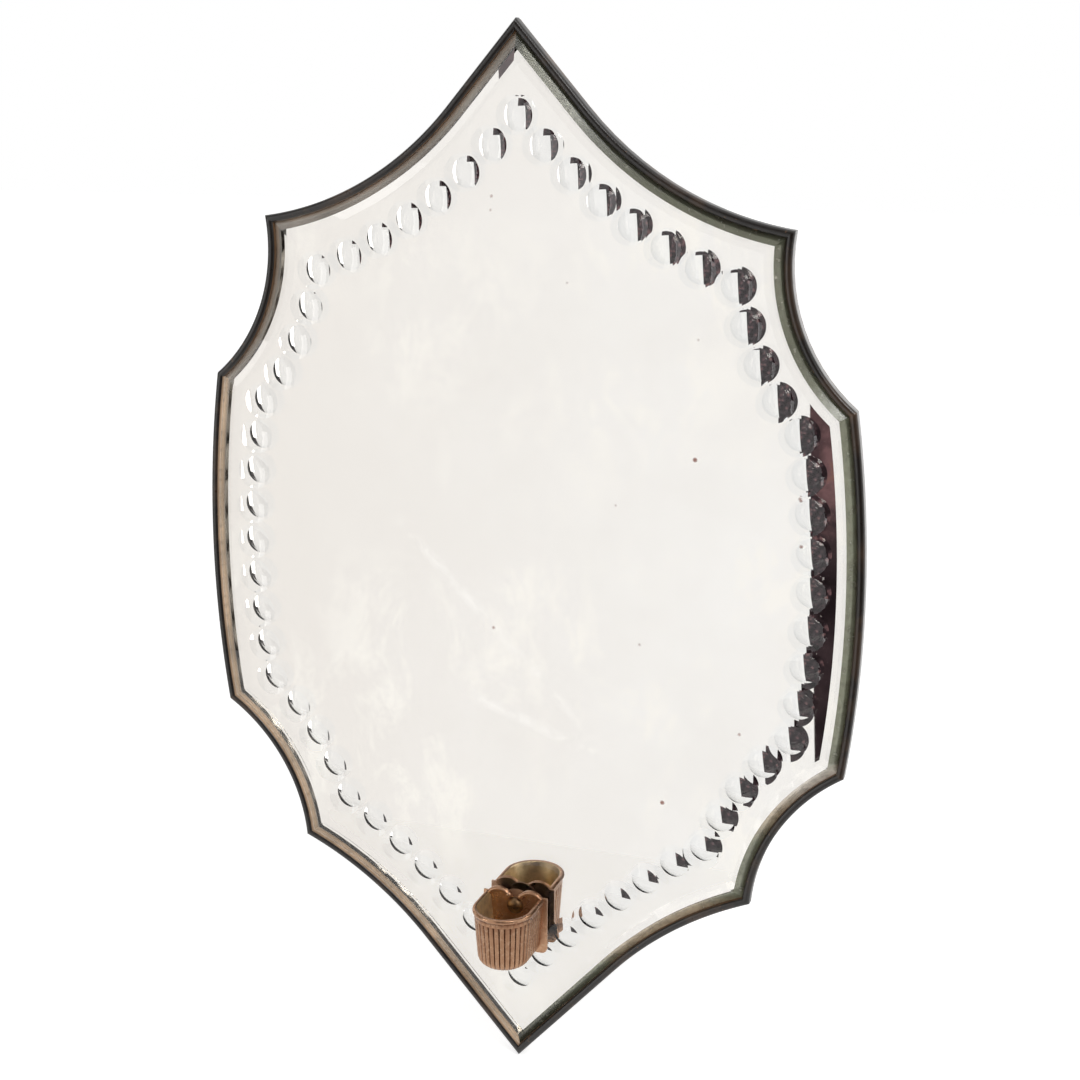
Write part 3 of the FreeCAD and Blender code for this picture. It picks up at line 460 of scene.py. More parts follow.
# ------------------------------
# Material helpers
# ------------------------------
class Finish:
    """A node material under construction."""

    def __init__(self, name, **values):
        """A shader with its input values, each named as its socket with _ for a space."""
        self.material = bpy.data.materials.get(name) or bpy.data.materials.new(name)
        self.material.use_nodes = True
        self.tree = self.material.node_tree
        self.tree.nodes.clear()
        self.output = self.tree.nodes.new("ShaderNodeOutputMaterial")
        self.shader = self.tree.nodes.new("ShaderNodeBsdfPrincipled")
        self.link(self.shader.outputs["BSDF"], self.output.inputs["Surface"])
        self.coords = self.tree.nodes.new("ShaderNodeTexCoord").outputs["Object"]
        for socket, value in values.items():
            self.shader.inputs[socket.replace("_", " ")].default_value = value

    def link(self, source, target):
        self.tree.links.new(source, target)

    def pattern(self, kind, source=None, **values):
        """A node with its input values, laid out by the source or else by the piece's own place."""
        node = self.tree.nodes.new(kind)
        for name, value in values.items():
            node.inputs[name].default_value = value
        self.link(source or self.coords, node.inputs["Vector"])
        return node

    def place(self, scale=(1, 1, 1), turn=(0, 0, 0)):
        return self.pattern("ShaderNodeMapping", Scale=scale, Rotation=turn).outputs["Vector"]

    def noise(self, scale, detail=4.0, roughness=0.5, source=None, distortion=0.0):
        return self.pattern(
            "ShaderNodeTexNoise", source, Scale=scale, Detail=detail, Roughness=roughness,
            Distortion=distortion,
        ).outputs["Fac"]

    def cells(self, scale):
        return self.pattern("ShaderNodeTexVoronoi", Scale=scale)

    def ramp(self, source, *stops):
        node = self.tree.nodes.new("ShaderNodeValToRGB")
        elements = node.color_ramp.elements
        while len(elements) < len(stops):
            elements.new(0.5)
        for element, (place, value) in zip(elements, stops):
            element.position = place
            if isinstance(value, (int, float)):
                value = (value, value, value)
            element.color = (*value, 1.0)
        self.link(source, node.inputs["Fac"])
        return node.outputs["Color"]

    def feed(self, socket, value):
        """Link another node's output to a socket, or give it a number or a colour."""
        if isinstance(value, bpy.types.NodeSocket):
            self.link(value, socket)
        elif isinstance(value, (int, float)):
            socket.default_value = value
        else:
            socket.default_value = (*value, 1.0)

    def blend(self, factor, first, second):
        node = self.tree.nodes.new("ShaderNodeMix")
        node.data_type = "RGBA"
        for index, value in ((0, factor), (6, first), (7, second)):
            self.feed(node.inputs[index], value)
        return node.outputs[2]

    def stain(self, tone, source, start, stop, weight, over):
        """Lay a colour over a tone, with more weight as the source rises from start to stop."""
        return self.blend(self.ramp(source, (start, 0.0), (stop, weight)), tone, over)

    def math(self, kind, *values):
        node = self.tree.nodes.new("ShaderNodeMath")
        node.operation = kind
        for socket, value in zip(node.inputs, values):
            self.feed(socket, value)
        return node.outputs[0]

    def axis(self, name, source=None):
        node = self.tree.nodes.new("ShaderNodeSeparateXYZ")
        self.link(source or self.coords, node.inputs[0])
        return node.outputs[name]

    def edge_wear(self, low, high):
        """1 on convex edges, 0 elsewhere."""
        node = self.tree.nodes.new("ShaderNodeNewGeometry")
        return self.ramp(node.outputs["Pointiness"], (low, 0.0), (high, 1.0))

    def bump(self, height, strength, distance):
        node = self.tree.nodes.new("ShaderNodeBump")
        node.inputs["Strength"].default_value = strength
        node.inputs["Distance"].default_value = distance
        self.link(height, node.inputs["Height"])
        self.link(node.outputs["Normal"], self.shader.inputs["Normal"])

    def base(self, source):
        self.link(source, self.shader.inputs["Base Color"])

    def rough(self, source, first, last, start=0.3, stop=0.7):
        """Roughness that goes from first to last as the source rises from start to stop."""
        self.link(self.ramp(source, (start, first), (stop, last)), self.shader.inputs["Roughness"])


def dimmed(tone, share):
    """A colour at a share of its brightness."""
    return tuple(share * part for part in tone)


def dress(node_name, material):
    """Give a carried-over solid its finish."""
    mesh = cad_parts[node_name].data
    mesh.materials.clear()
    mesh.materials.append(material)


# ------------------------------
# Finishes
# ------------------------------
def clear_glass(sizes):
    finish = Finish(
        "clear_glass", Base_Color=(*sizes.colour, 1.0), IOR=GLASS_INDEX, Transmission_Weight=1.0
    )
    wipe = finish.noise(9.0, 5.0, 0.6, finish.place(scale=(1, 1, 0.35), turn=(0, math.radians(35), 0)))
    finish.rough(wipe, 0.0, 0.012, 0.45, 0.85)
    return finish.material


def polished_cut(sizes):
    finish = Finish("polished_cut", IOR=GLASS_INDEX, Transmission_Weight=1.0)
    rings = finish.noise(60.0, 3.0, 0.5)
    finish.base(finish.ramp(rings, (0.3, dimmed(sizes.cut_colour, 0.985)), (0.7, sizes.cut_colour)))
    finish.rough(rings, 0.0, 0.01, 0.4, 0.8)
    return finish.material


def shaded_facet(sizes):
    """Ground facet on the right, with painted shade and painted reflection: olive, tan below the lower
    corners, darker towards the top.
    """
    finish = Finish("shaded_facet", IOR=GLASS_INDEX, Transmission_Weight=0.35, Specular_IOR_Level=0.5)
    height = finish.math("MULTIPLY_ADD", finish.axis("Z"), 1 / TONE_HEIGHT, 0.5)
    wander = finish.math("MULTIPLY_ADD", finish.noise(30.0, 4.0, 0.6), 0.03, -0.015)
    olive, tan, pale = sizes.shade_colour, (0.62, 0.50, 0.35), (0.80, 0.72, 0.62)
    dark = dimmed(sizes.shade_colour, 0.35)
    # painted reflection: tan and pale bands near the lower corners, dark towards the top and the bottom
    tone = finish.ramp(
        finish.math("ADD", height, wander),
        (0.05, dark), (0.12, olive), (0.145, tan), (0.195, tan), (0.215, olive), (0.27, olive), (0.30, tan),
        (0.325, pale), (0.345, pale), (0.355, olive), (0.62, olive), (0.74, dimmed(olive, 0.55)), (1.0, dark),
    )
    streaks = finish.noise(260.0, 5.0, 0.65)
    tone = finish.stain(tone, streaks, 0.45, 0.7, 0.55, (0.07, 0.062, 0.045))
    finish.base(finish.stain(tone, finish.noise(420.0, 2.0, 0.6), 0.66, 0.74, 0.5, (0.5, 0.48, 0.40)))
    finish.rough(streaks, 0.12, 0.3)
    return finish.material


def lit_facet(sizes):
    """Ground facet on the left, with painted light and painted reflection: cream with tan and brown chips."""
    finish = Finish("lit_facet", IOR=GLASS_INDEX, Metallic=0.75)
    patches = finish.noise(26.0, 4.0, 0.6)
    tone = finish.ramp(patches, (0.35, dimmed(sizes.lit_colour, 0.85)), (0.6, sizes.lit_colour))
    chips = finish.ramp(finish.noise(150.0, 5.0, 0.7), (0.64, 0.0), (0.70, 0.7))
    finish.base(finish.blend(chips, tone, (0.30, 0.15, 0.07)))
    finish.rough(patches, 0.15, 0.3)
    return finish.material


def streak(finish, slope, height, start, end, width):
    """1 along a faint straight scratch through (0, height), fading at its ends and broken by noise."""
    turned = finish.place(turn=(0, -math.radians(slope), 0))
    off = finish.math("ABSOLUTE", finish.math("SUBTRACT", finish.axis("Z", turned), height))
    along = finish.axis("X", turned)
    inside = finish.math(
        "MULTIPLY", finish.ramp(finish.math("SUBTRACT", along, start), (0.0, 0.0), (0.03, 1.0)),
        finish.ramp(finish.math("SUBTRACT", end, along), (0.0, 0.0), (0.03, 1.0)),
    )
    thin = finish.ramp(off, (0.0, 1.0), (width, 0.0))
    broken = finish.ramp(finish.noise(75.0, 5.0, 0.7), (0.4, 0.0), (0.6, 1.0))
    return finish.math("MULTIPLY", finish.math("MULTIPLY", thin, inside), broken)


def silver_coat():
    finish = Finish("silver_coat", Metallic=1.0, Roughness=0.01)
    clouds = finish.noise(14.0, 6.0, 0.6)
    tone = finish.ramp(clouds, (0.35, (0.91, 0.90, 0.885)), (0.65, (0.945, 0.94, 0.93)))
    side = finish.ramp(finish.math("MULTIPLY_ADD", finish.axis("X"), 3.0, 0.5), (0.0, 1.0), (0.75, 0.0))
    tone = finish.blend(finish.math("MULTIPLY", side, 0.75), tone, (0.86, 0.825, 0.785))
    slanted = finish.place(scale=(1.2, 1, 0.75), turn=(0, math.radians(25), 0))
    wipes = finish.noise(24.0, 7.0, 0.7, slanted, 0.4)
    where = finish.ramp(finish.noise(7.0, 3.0, 0.5), (0.44, 0.0), (0.6, 0.85))
    wiped = finish.math("MULTIPLY", finish.ramp(wipes, (0.49, 0.0), (0.6, 1.0)), where)
    tone = finish.blend(wiped, tone, (0.985, 0.97, 0.93))
    marks = finish.math("MAXIMUM", *(streak(finish, *place) for place in STREAKS))
    tone = finish.blend(finish.math("MULTIPLY", marks, 0.9), tone, (1.0, 0.99, 0.97))
    specks = finish.cells(80.0)
    near = finish.ramp(specks.outputs["Distance"], (0.05, 1.0), (0.11, 0.0))
    chosen = finish.ramp(finish.axis("X", specks.outputs["Color"]), (0.905, 0.0), (0.91, 1.0))
    tone = finish.blend(finish.math("MULTIPLY", near, chosen), tone, (0.26, 0.11, 0.08))
    finish.base(tone)
    finish.rough(clouds, 0.004, 0.012)
    return finish.material


def brown_paper():
    finish = Finish("brown_paper", Specular_IOR_Level=0.2)
    fibres = finish.noise(420.0, 6.0, 0.7)
    stains = finish.noise(12.0, 4.0, 0.6)
    tone = finish.ramp(stains, (0.3, (0.20, 0.115, 0.055)), (0.7, (0.36, 0.23, 0.12)))
    finish.base(finish.stain(tone, fibres, 0.4, 0.7, 0.4, (0.14, 0.08, 0.04)))
    finish.rough(fibres, 0.8, 0.95)
    finish.bump(fibres, 0.3, 0.0002)
    return finish.material


def board_wood():
    finish = Finish("board_wood")
    long_way = finish.place(scale=(1.0, 1.0, 0.08))
    grain = finish.noise(95.0, 8.0, 0.62, long_way, 0.6)
    pores = finish.noise(620.0, 4.0, 0.6, finish.place(scale=(1.0, 1.0, 0.03)))
    stains = finish.noise(7.0, 5.0, 0.55)
    tone = finish.ramp(
        grain, (0.3, (0.10, 0.05, 0.024)), (0.5, (0.22, 0.12, 0.06)), (0.72, (0.33, 0.20, 0.105))
    )
    tone = finish.stain(tone, stains, 0.45, 0.75, 0.65, (0.075, 0.045, 0.028))
    finish.base(finish.stain(tone, pores, 0.56, 0.7, 0.6, (0.05, 0.028, 0.016)))
    finish.rough(grain, 0.72, 0.88)
    finish.bump(finish.math("ADD", grain, pores), 0.35, 0.0004)
    return finish.material


def black_wood(sizes):
    finish = Finish("black_wood", Specular_IOR_Level=0.5, Coat_Weight=0.25, Coat_Roughness=0.25)
    grain = finish.noise(380.0, 6.0, 0.6)
    patches = finish.noise(38.0, 4.0, 0.6)
    where = finish.ramp(patches, (0.5, 0.0), (0.62, 1.0))
    wear = finish.math("MULTIPLY", finish.edge_wear(0.5, 0.62), where)
    chips = finish.ramp(finish.noise(240.0, 3.0, 0.7), (0.66, 0.0), (0.72, 0.8))
    tone = finish.blend(finish.math("MAXIMUM", wear, chips), sizes.colour, sizes.worn)
    finish.base(tone)
    finish.rough(grain, 0.26, 0.42)
    finish.bump(finish.math("ADD", grain, patches), 0.25, 0.00025)
    return finish.material


def bare_wood(sizes, pale):
    """Inner flank of a bead, where the stain is thin; the pale copy is painted light, pale where light falls
    on it and near white deep down towards the glass, where shade falls.
    """
    finish = Finish("painted_light_wood" if pale else "bare_wood")
    grain = finish.noise(310.0, 6.0, 0.6)
    patches = finish.noise(55.0, 4.0, 0.6)
    light = (0.80, 0.58, 0.40) if pale else sizes.worn
    tone = finish.ramp(patches, (0.35, dimmed(light, 0.6)), (0.6, light))
    if pale:
        # painted light: brown at the front of the flank, near white deep down towards the glass, where shade
        # falls
        depth = finish.math("MULTIPLY_ADD", finish.axis("Y"), 1 / FLANK, -BEAD_FRONT / FLANK)
        tone = finish.blend(finish.ramp(depth, (0.05, 1.0), (0.35, 0.0)), tone, sizes.worn)
        tone = finish.stain(tone, depth, 0.3, 0.62, 0.95, (1.0, 0.95, 0.88))
    finish.base(finish.stain(tone, grain, 0.5, 0.7, 0.5, dimmed(light, 0.35)))
    finish.rough(grain, 0.45, 0.65)
    finish.bump(grain, 0.3, 0.0002)
    return finish.material


def painted_sheen_flank():
    """Outer flank of a bead: grey painted sheen where light from the side falls on it, darker towards the
    bead's front.
    """
    finish = Finish("painted_sheen_flank", Specular_IOR_Level=0.5, Coat_Weight=0.6, Coat_Roughness=0.2)
    grain = finish.noise(260.0, 6.0, 0.6)
    patches = finish.noise(45.0, 4.0, 0.6)
    # painted sheen: dark near the bead's front, grey deeper in
    depth = finish.math("MULTIPLY_ADD", finish.axis("Y"), 75.0, 1.0)
    tone = finish.ramp(patches, (0.35, (0.30, 0.29, 0.28)), (0.65, (0.46, 0.45, 0.44)))
    tone = finish.blend(finish.ramp(depth, (0.0, 1.0), (0.35, 0.0)), tone, (0.05, 0.045, 0.04))
    finish.base(finish.stain(tone, grain, 0.55, 0.75, 0.5, (0.10, 0.095, 0.09)))
    finish.rough(grain, 0.3, 0.5)
    finish.bump(grain, 0.25, 0.0002)
    return finish.material


def old_brass(sizes):
    finish = Finish("old_brass", Metallic=0.9)
    crest = finish.edge_wear(0.465, 0.53)
    patches = finish.noise(150.0, 6.0, 0.62)
    grime = finish.noise(520.0, 5.0, 0.6)
    tone = finish.blend(crest, sizes.groove_colour, sizes.reed_colour)
    tone = finish.stain(tone, patches, 0.42, 0.7, 0.5, (0.26, 0.11, 0.055))
    tone = finish.stain(tone, grime, 0.52, 0.72, 0.5, (0.66, 0.46, 0.31))
    finish.base(tone)
    finish.rough(patches, 0.22, 0.4)
    finish.bump(finish.math("ADD", patches, grime), 0.3, 0.0002)
    return finish.material


def inside_brass(sizes):
    finish = Finish("inside_brass", Metallic=0.8)
    patches = finish.noise(130.0, 6.0, 0.65)
    wax = finish.noise(60.0, 4.0, 0.5)
    tone = finish.ramp(
        patches, (0.3, dimmed(sizes.inside_colour, 0.45)), (0.7, sizes.inside_colour)
    )
    finish.base(finish.stain(tone, wax, 0.55, 0.75, 0.5, (0.70, 0.52, 0.27)))
    finish.rough(wax, 0.3, 0.5)
    finish.bump(patches, 0.3, 0.0002)
    return finish.material


def brown_leather():
    finish = Finish("brown_leather")
    pores = finish.cells(900.0).outputs["Distance"]
    tone = finish.noise(70.0, 4.0, 0.6)
    finish.base(finish.ramp(tone, (0.3, (0.16, 0.075, 0.035)), (0.7, (0.30, 0.155, 0.08))))
    finish.rough(pores, 0.75, 0.6, 0.1, 0.6)
    finish.bump(pores, 0.4, 0.0002)
    return finish.material


def metal(name, dark, light, dull, bright, rust=None):
    """Cast or rolled metal with patina; dull and bright are its two roughness values."""
    finish = Finish(name, Metallic=1.0)
    patina = finish.noise(170.0, 7.0, 0.65)
    scratches = finish.noise(900.0, 3.0, 0.5, finish.place(scale=(0.15, 1.0, 1.0), turn=(0, 0.6, 0)))
    tone = finish.ramp(patina, (0.32, dark), (0.66, light))
    if rust:
        tone = finish.stain(tone, finish.noise(85.0, 6.0, 0.7), 0.55, 0.68, 0.9, rust)
    finish.base(tone)
    finish.rough(scratches, dull, bright, 0.4, 0.7)
    finish.bump(finish.math("ADD", patina, scratches), 0.2, 0.00015)
    return finish.material


def seen_from_here(tree, seen, unseen, target):
    """One shader for what the eye, a mirror or a glass sees, another for the light it gives."""
    path = tree.nodes.new("ShaderNodeLightPath")
    chosen = path.outputs["Is Camera Ray"]
    for ray in ("Is Glossy Ray", "Is Transmission Ray"):
        either = tree.nodes.new("ShaderNodeMath")
        either.operation = "MAXIMUM"
        tree.links.new(chosen, either.inputs[0])
        tree.links.new(path.outputs[ray], either.inputs[1])
        chosen = either.outputs[0]
    mix = tree.nodes.new("ShaderNodeMixShader")
    for source, socket in zip((chosen, unseen, seen), mix.inputs):
        tree.links.new(source, socket)
    tree.links.new(mix.outputs[0], target)


def hide_from(piece, *rays):
    """Keep a piece out of the sight of some kinds of ray."""
    for ray in rays:
        setattr(piece, "visible_" + ray, False)


# ------------------------------
# Operators, one for each piece or group of like pieces
# ------------------------------
class MIRROR_OT_glass(bpy.types.Operator):
    """Glass plate with ground facet, bevel, sixty round cuts and the bolt hole."""

    bl_idname = "mirror.glass"
    bl_label = "Glass plate"

    def execute(self, context):
        sizes = context.scene.mirror_glass_sizes
        shape = context.scene.mirror_outline
        back = SILVER_FRONT - sizes.rear_gap
        bm = bmesh.new()
        loops = [self.closed_line(bm, shape, inset, depth) for depth, inset in (
            (back, sizes.inset),
            (GLASS_FRONT + sizes.bevel_drop + sizes.facet_drop, sizes.inset),
            (GLASS_FRONT + sizes.bevel_drop, sizes.inset + sizes.facet_width),
            (GLASS_FRONT, sizes.inset + sizes.facet_width + sizes.bevel_width),
        )]
        bands = [
            bmesh.ops.bridge_loops(bm, edges=outer + inner)["faces"]
            for outer, inner in zip(loops[:-1], loops[1:])
        ]
        # facets on the right take the painted shade, those on the left the painted light
        for face in bands[1]:
            face.material_index = SHADED if face.calc_center_median().x > 0 else LIT

        hole_front, hole_back = (bolt_ring(bm, depth, sizes.hole / 2) for depth in (GLASS_FRONT, back))
        bmesh.ops.bridge_loops(bm, edges=hole_front + hole_back)

        centres = cut_centres(shape, context.scene.mirror_cut_line, sizes.cut_pitch)
        rims = self.round_cuts(bm, sizes, centres)
        fill(bm, loops[3] + rims + hole_front, (0, -1, 0))
        fill(bm, loops[0] + hole_back, (0, 1, 0))
        finishes = [clear_glass(sizes), shaded_facet(sizes), lit_facet(sizes), polished_cut(sizes)]
        plate = finish_mesh(bm, "glass_plate", finishes, math.radians(4))
        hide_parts("mirror_glass")
        return {"FINISHED"}

    def closed_line(self, bm, shape, inset, depth):
        """The whole outline at an inset and a depth; returns its edges."""
        known = set(bm.edges)
        line, reference = outline(shape, inset), outline(shape, 0.0)
        top = line[EDGES[0]][0][0]
        vert = bm.verts.new((top.x, depth, top.z))
        for name in EDGES:
            for run, true_run in zip(line[name], reference[name]):
                # the same number of steps at every inset, so that the loops bridge one to one
                vert = draw_run(bm, vert, run, steps_of(true_run, OUTLINE_STEP))
                vert.co = (run[1].x, depth, run[1].z)
        half = [edge for edge in bm.edges if edge not in known]
        points = list({vert for edge in half for vert in edge.verts})
        bmesh.ops.mirror(bm, geom=points + half, matrix=Matrix.Identity(4), merge_dist=1e-5, axis="X")
        return [edge for edge in bm.edges if edge not in known]

    def round_cuts(self, bm, sizes, right):
        """Hollow caps ground into the front; returns their rim edges."""
        half = sizes.cut_width / 2
        ball = (half ** 2 + sizes.cut_deep ** 2) / (2 * sizes.cut_deep)
        centre = Vector((0, GLASS_FRONT + sizes.cut_deep - ball, 0))
        rim = bm.verts.new((half, GLASS_FRONT, 0))
        known = set(bm.verts)
        spin(bm, [rim], centre, (0, 0, 1), math.asin(half / ball), 9)
        line = [vert for vert in bm.verts if vert not in known] + [rim]
        profile = list({edge for vert in line for edge in vert.link_edges})
        spin(bm, line + profile, centre, (0, 1, 0), 2 * math.pi, 48, use_merge=True)
        cap = [vert for vert in bm.verts if vert not in known] + [rim]
        bmesh.ops.remove_doubles(bm, verts=cap, dist=1e-7)
        cap = [vert for vert in bm.verts if vert not in known or vert is rim]
        faces = list({face for vert in cap if vert.is_valid for face in vert.link_faces})
        for face in faces:
            face.material_index = CUT
        rims = []
        places = right + [flat(-place.x, place.z) for place in right[1:-1]]
        for place in places[1:]:
            copy = bmesh.ops.duplicate(bm, geom=faces)
            new_verts = verts_of(copy["geom"])
            bmesh.ops.translate(bm, verts=new_verts, vec=place)
            rims += [edge for edge in edges_of(copy["geom"]) if edge.is_boundary]
        first = list({vert for face in faces for vert in face.verts})
        bmesh.ops.translate(bm, verts=first, vec=places[0])
        rims += list({edge for face in faces for edge in face.edges if edge.is_boundary})
        return rims


class MIRROR_OT_edge_beads(bpy.types.Operator):
    """Ten black half-round beads, mitred at the corners."""

    bl_idname = "mirror.edge_beads"
    bl_label = "Edge beads"

    def execute(self, context):
        sizes = context.scene.mirror_beads
        shape = context.scene.mirror_outline
        outer, inner = outline(shape, 0.0), outline(shape, sizes.width)
        middle = outline(shape, sizes.width / 2)
        stain = black_wood(sizes)
        for name in EDGES:
            for side in (1, -1):
                bm = bmesh.new()
                self.bead(bm, sizes, outer[name], inner[name], middle[name])
                if side < 0:
                    bmesh.ops.scale(bm, verts=bm.verts, vec=(-1, 1, 1))
                    bmesh.ops.reverse_faces(bm, faces=bm.faces)
                label = name + ("_right" if side > 0 else "_left")
                bmesh.ops.recalc_face_normals(bm, faces=bm.faces)
                # left flanks of the side, hip and foot beads get the painted light
                pale = side < 0 and name in ("side", "hip", "foot")
                finishes = [stain, bare_wood(sizes, pale)]
                # outer flanks of the shoulder and side beads get the painted sheen
                finishes.append(painted_sheen_flank() if name in ("shoulder", "side") else stain)
                for face in bm.faces:
                    outward = face.normal.dot(face.calc_center_median()) > 0
                    if abs(face.normal.y) < (0.3 if outward or not pale else 0.62):
                        face.material_index = 2 if outward else 1
                piece = finish_mesh(bm, "bead_" + label, finishes, math.radians(50))
                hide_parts("edge_" + label)
        return {"FINISHED"}

    def bead(self, bm, sizes, outer, inner, middle):
        """One bead: its section is carried past both corners and cut off at the mitres."""
        past = sizes.width * 1.6
        start = middle[0][0]
        along = heading(middle[0], start)
        outward = flat(along.z, -along.x)
        if (outer[0][0] - inner[0][0]).dot(outward) < 0:
            outward = -outward
        section = self.section(bm, sizes, start - along * past, outward)
        loop = self.carry_straight(bm, section, along * past, 2)
        for run in middle:
            if run[2] is None:
                loop = self.carry_straight(bm, loop, run[1] - run[0], 10)
            else:
                steps = max(8, steps_of(run, OUTLINE_STEP))
                loop = spin(bm, self.with_edges(loop), run[2], (0, 1, 0), turn_of(*run), steps)
        self.carry_straight(bm, loop, heading(middle[-1], middle[-1][1]) * past, 2)
        for corner, place, inside in (
            (outer[0][0] - inner[0][0], outer[0][0], middle[0][1]),
            (outer[-1][1] - inner[-1][1], outer[-1][1], middle[-1][0]),
        ):
            across = flat(corner.z, -corner.x).normalized()
            if (inside - place).dot(across) > 0:
                across = -across
            cut = bmesh.ops.bisect_plane(
                bm, geom=list(bm.verts) + list(bm.edges) + list(bm.faces), dist=1e-8, plane_co=place,
                plane_no=across, clear_outer=True,
            )
            bmesh.ops.contextual_create(bm, geom=edges_of(cut["geom_cut"]))

    def with_edges(self, verts):
        chosen = set(verts)
        return list(verts) + [
            edge for edge in {e for vert in verts for e in vert.link_edges}
            if edge.verts[0] in chosen and edge.verts[1] in chosen
        ]

    def carry_straight(self, bm, loop, move, count):
        for _ in range(count):
            made = bmesh.ops.extrude_edge_only(bm, edges=edges_of(self.with_edges(loop)))
            loop = verts_of(made["geom"])
            bmesh.ops.translate(bm, verts=loop, vec=move / count)
        return loop

    def section(self, bm, sizes, place, outward):
        """Closed section of the bead: flat back and sides, half-round front."""
        half = sizes.width / 2
        shoulder = BEAD_FRONT + sizes.round_depth
        first = bm.verts.new((-half, BOARD_FRONT, 0))
        up = bm.verts.new((-half, shoulder, 0))
        bm.edges.new((first, up))
        down = spin(bm, [up], (0, shoulder, 0), (0, 0, 1), math.pi, 10)[0]
        arc = [vert for vert in bm.verts if vert is not first]
        bmesh.ops.scale(
            bm, verts=arc, vec=(1, sizes.round_depth / half, 1),
            space=Matrix.Translation((0, -shoulder, 0)),
        )
        last = bm.verts.new((half, BOARD_FRONT, 0))
        bm.edges.new((down, last))
        bm.edges.new((last, first))
        rotate(bm, bm.verts, math.atan2(-outward.z, outward.x))
        bmesh.ops.translate(bm, verts=bm.verts, vec=place)
        return list(bm.verts)


class MIRROR_OT_candle_cup(bpy.types.Operator):
    """Cast candle cup: rolled lip, plain band, reeds that run under a rounded foot, hollow inside."""

    bl_idname = "mirror.candle_cup"
    bl_label = "Candle cup"

    def execute(self, context):
        sizes = context.scene.mirror_cup
        back = PLATE_LOW.y
        axis = CUP_LOW.y + sizes.half + sizes.lip_over
        rim, low = CUP_HIGH.z, CUP_LOW.z
        bm = bmesh.new()
        ring, places = self.plan(bm, sizes, back, axis, low)
        root = sizes.half - sizes.reed_rise - sizes.taper
        mouth, hollow = sizes.half - sizes.rim_wall, root - sizes.foot_wall
        floor = low + sizes.floor
        lip_low = rim - sizes.lip_tall
        band_low = lip_low - sizes.band_tall
        # height, half width and share of the reeds' rise: up the outside, over the lip, down the inside
        rings = []
        for step in range(9):
            swing = math.pi / 2 * step / 8
            rings.append((
                low + sizes.foot_round * (1 - math.cos(swing)),
                root - sizes.foot_round * (1 - math.sin(swing)),
                math.sin(swing) * 0.9 + 0.1,
            ))
        reeds_low = low + sizes.foot_round
        for share in (0.35, 0.7, 0.97):
            rings.append((reeds_low + (band_low - reeds_low) * share, root + sizes.taper * share, 1.0))
        rings += [
            (band_low - 0.05 * MM, root + sizes.taper, 1.0),
            (band_low, sizes.half, 0.0),
            (band_low + sizes.band_tall * 0.5, sizes.half, 0.0),
            (lip_low - 0.3 * MM, sizes.half, 0.0),
            (lip_low, sizes.half + 0.2 * MM, 0.0),
        ]
        half_lip, lip_foot = sizes.lip_tall / 2, 0.3 * MM
        for step in range(9):
            swing = -math.pi / 2 + math.pi * step / 8
            out = lip_foot + (sizes.lip_over - lip_foot) * math.cos(swing)
            rings.append((lip_low + half_lip + half_lip * math.sin(swing), sizes.half + out, 0.0))
        rings += [
            (rim, mouth + 0.4 * MM, 0.0),
            (rim - 0.4 * MM, mouth, 0.0),
            (floor + 2.0 * MM, hollow, 0.0),
            (floor + 0.6 * MM, hollow - 0.6 * MM, 0.0),
            (floor, hollow - 2.0 * MM, 0.0),
        ]
        first = list(ring)
        for index, (height, half, reed) in enumerate(rings):
            if index:
                made = bmesh.ops.extrude_edge_only(bm, edges=self.edges_between(ring))
                ring = self.in_order(verts_of(made["geom"]), ring)
            for vert, (place, outward, bulge) in zip(ring, places):
                vert.co = place + outward * (half - sizes.half + reed * bulge * sizes.reed_rise)
                vert.co.z = height
        for face in bm.faces:
            middle = face.calc_center_median()
            spread = math.hypot(middle.x, min(0.0, middle.y - axis))
            wall = hollow + (mouth - hollow) * (middle.z - floor) / (rim - floor)
            if spread < wall + 0.3 * MM and middle.z > floor - 0.1 * MM:
                face.material_index = 1
        for face in bmesh.ops.contextual_create(bm, geom=ring)["faces"]:
            face.material_index = 1
        bmesh.ops.contextual_create(bm, geom=first)
        rest = [edge for edge in bm.edges if edge.is_boundary]
        fill(bm, rest, (0, 1, 0))
        cup = finish_mesh(bm, "fluted_cup", [old_brass(sizes), inside_brass(sizes)], math.radians(50))
        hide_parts("candle_cup")
        return {"FINISHED"}

    def plan(self, bm, sizes, back, axis, height):
        """The cup's plan, eight steps to a reed: its vertices, and place, way out and bulge of each."""
        side_steps, front_steps = sizes.side_reeds * 8, sizes.front_reeds * 8
        stride = Vector((0, (axis - back) / side_steps, 0))
        chain = [bm.verts.new((sizes.half, back, height))]
        for _ in range(side_steps):
            chain.append(extend(bm, chain[-1], stride))
        known = set(bm.verts)
        spin(bm, [chain[-1]], (0, axis, height), (0, 0, 1), -math.pi, front_steps)
        while len(chain) < side_steps + front_steps + 1:
            ends = [edge.other_vert(chain[-1]) for edge in chain[-1].link_edges]
            chain.append(next(vert for vert in ends if vert not in known))
            known.add(chain[-1])
        for _ in range(side_steps):
            chain.append(extend(bm, chain[-1], -stride))
        places = []
        for number, vert in enumerate(chain):
            if side_steps <= number <= side_steps + front_steps:
                outward = Vector((vert.co.x, vert.co.y - axis, 0)).normalized()
            else:
                outward = Vector((math.copysign(1, vert.co.x), 0, 0))
            bulge = math.sqrt(max(0.0, 1 - (2 * (number % 8) / 8 - 1) ** 2))
            places.append((vert.co.copy(), outward, bulge))
        return chain, places

    def edges_between(self, ring):
        chosen = []
        for one, other in zip(ring[:-1], ring[1:]):
            chosen += [edge for edge in one.link_edges if edge.other_vert(one) is other]
        return chosen

    def in_order(self, new, ring):
        fresh = set(new)
        order = []
        for vert in ring:
            ends = (edge.other_vert(vert) for edge in vert.link_edges)
            order += [end for end in ends if end in fresh]
        return order


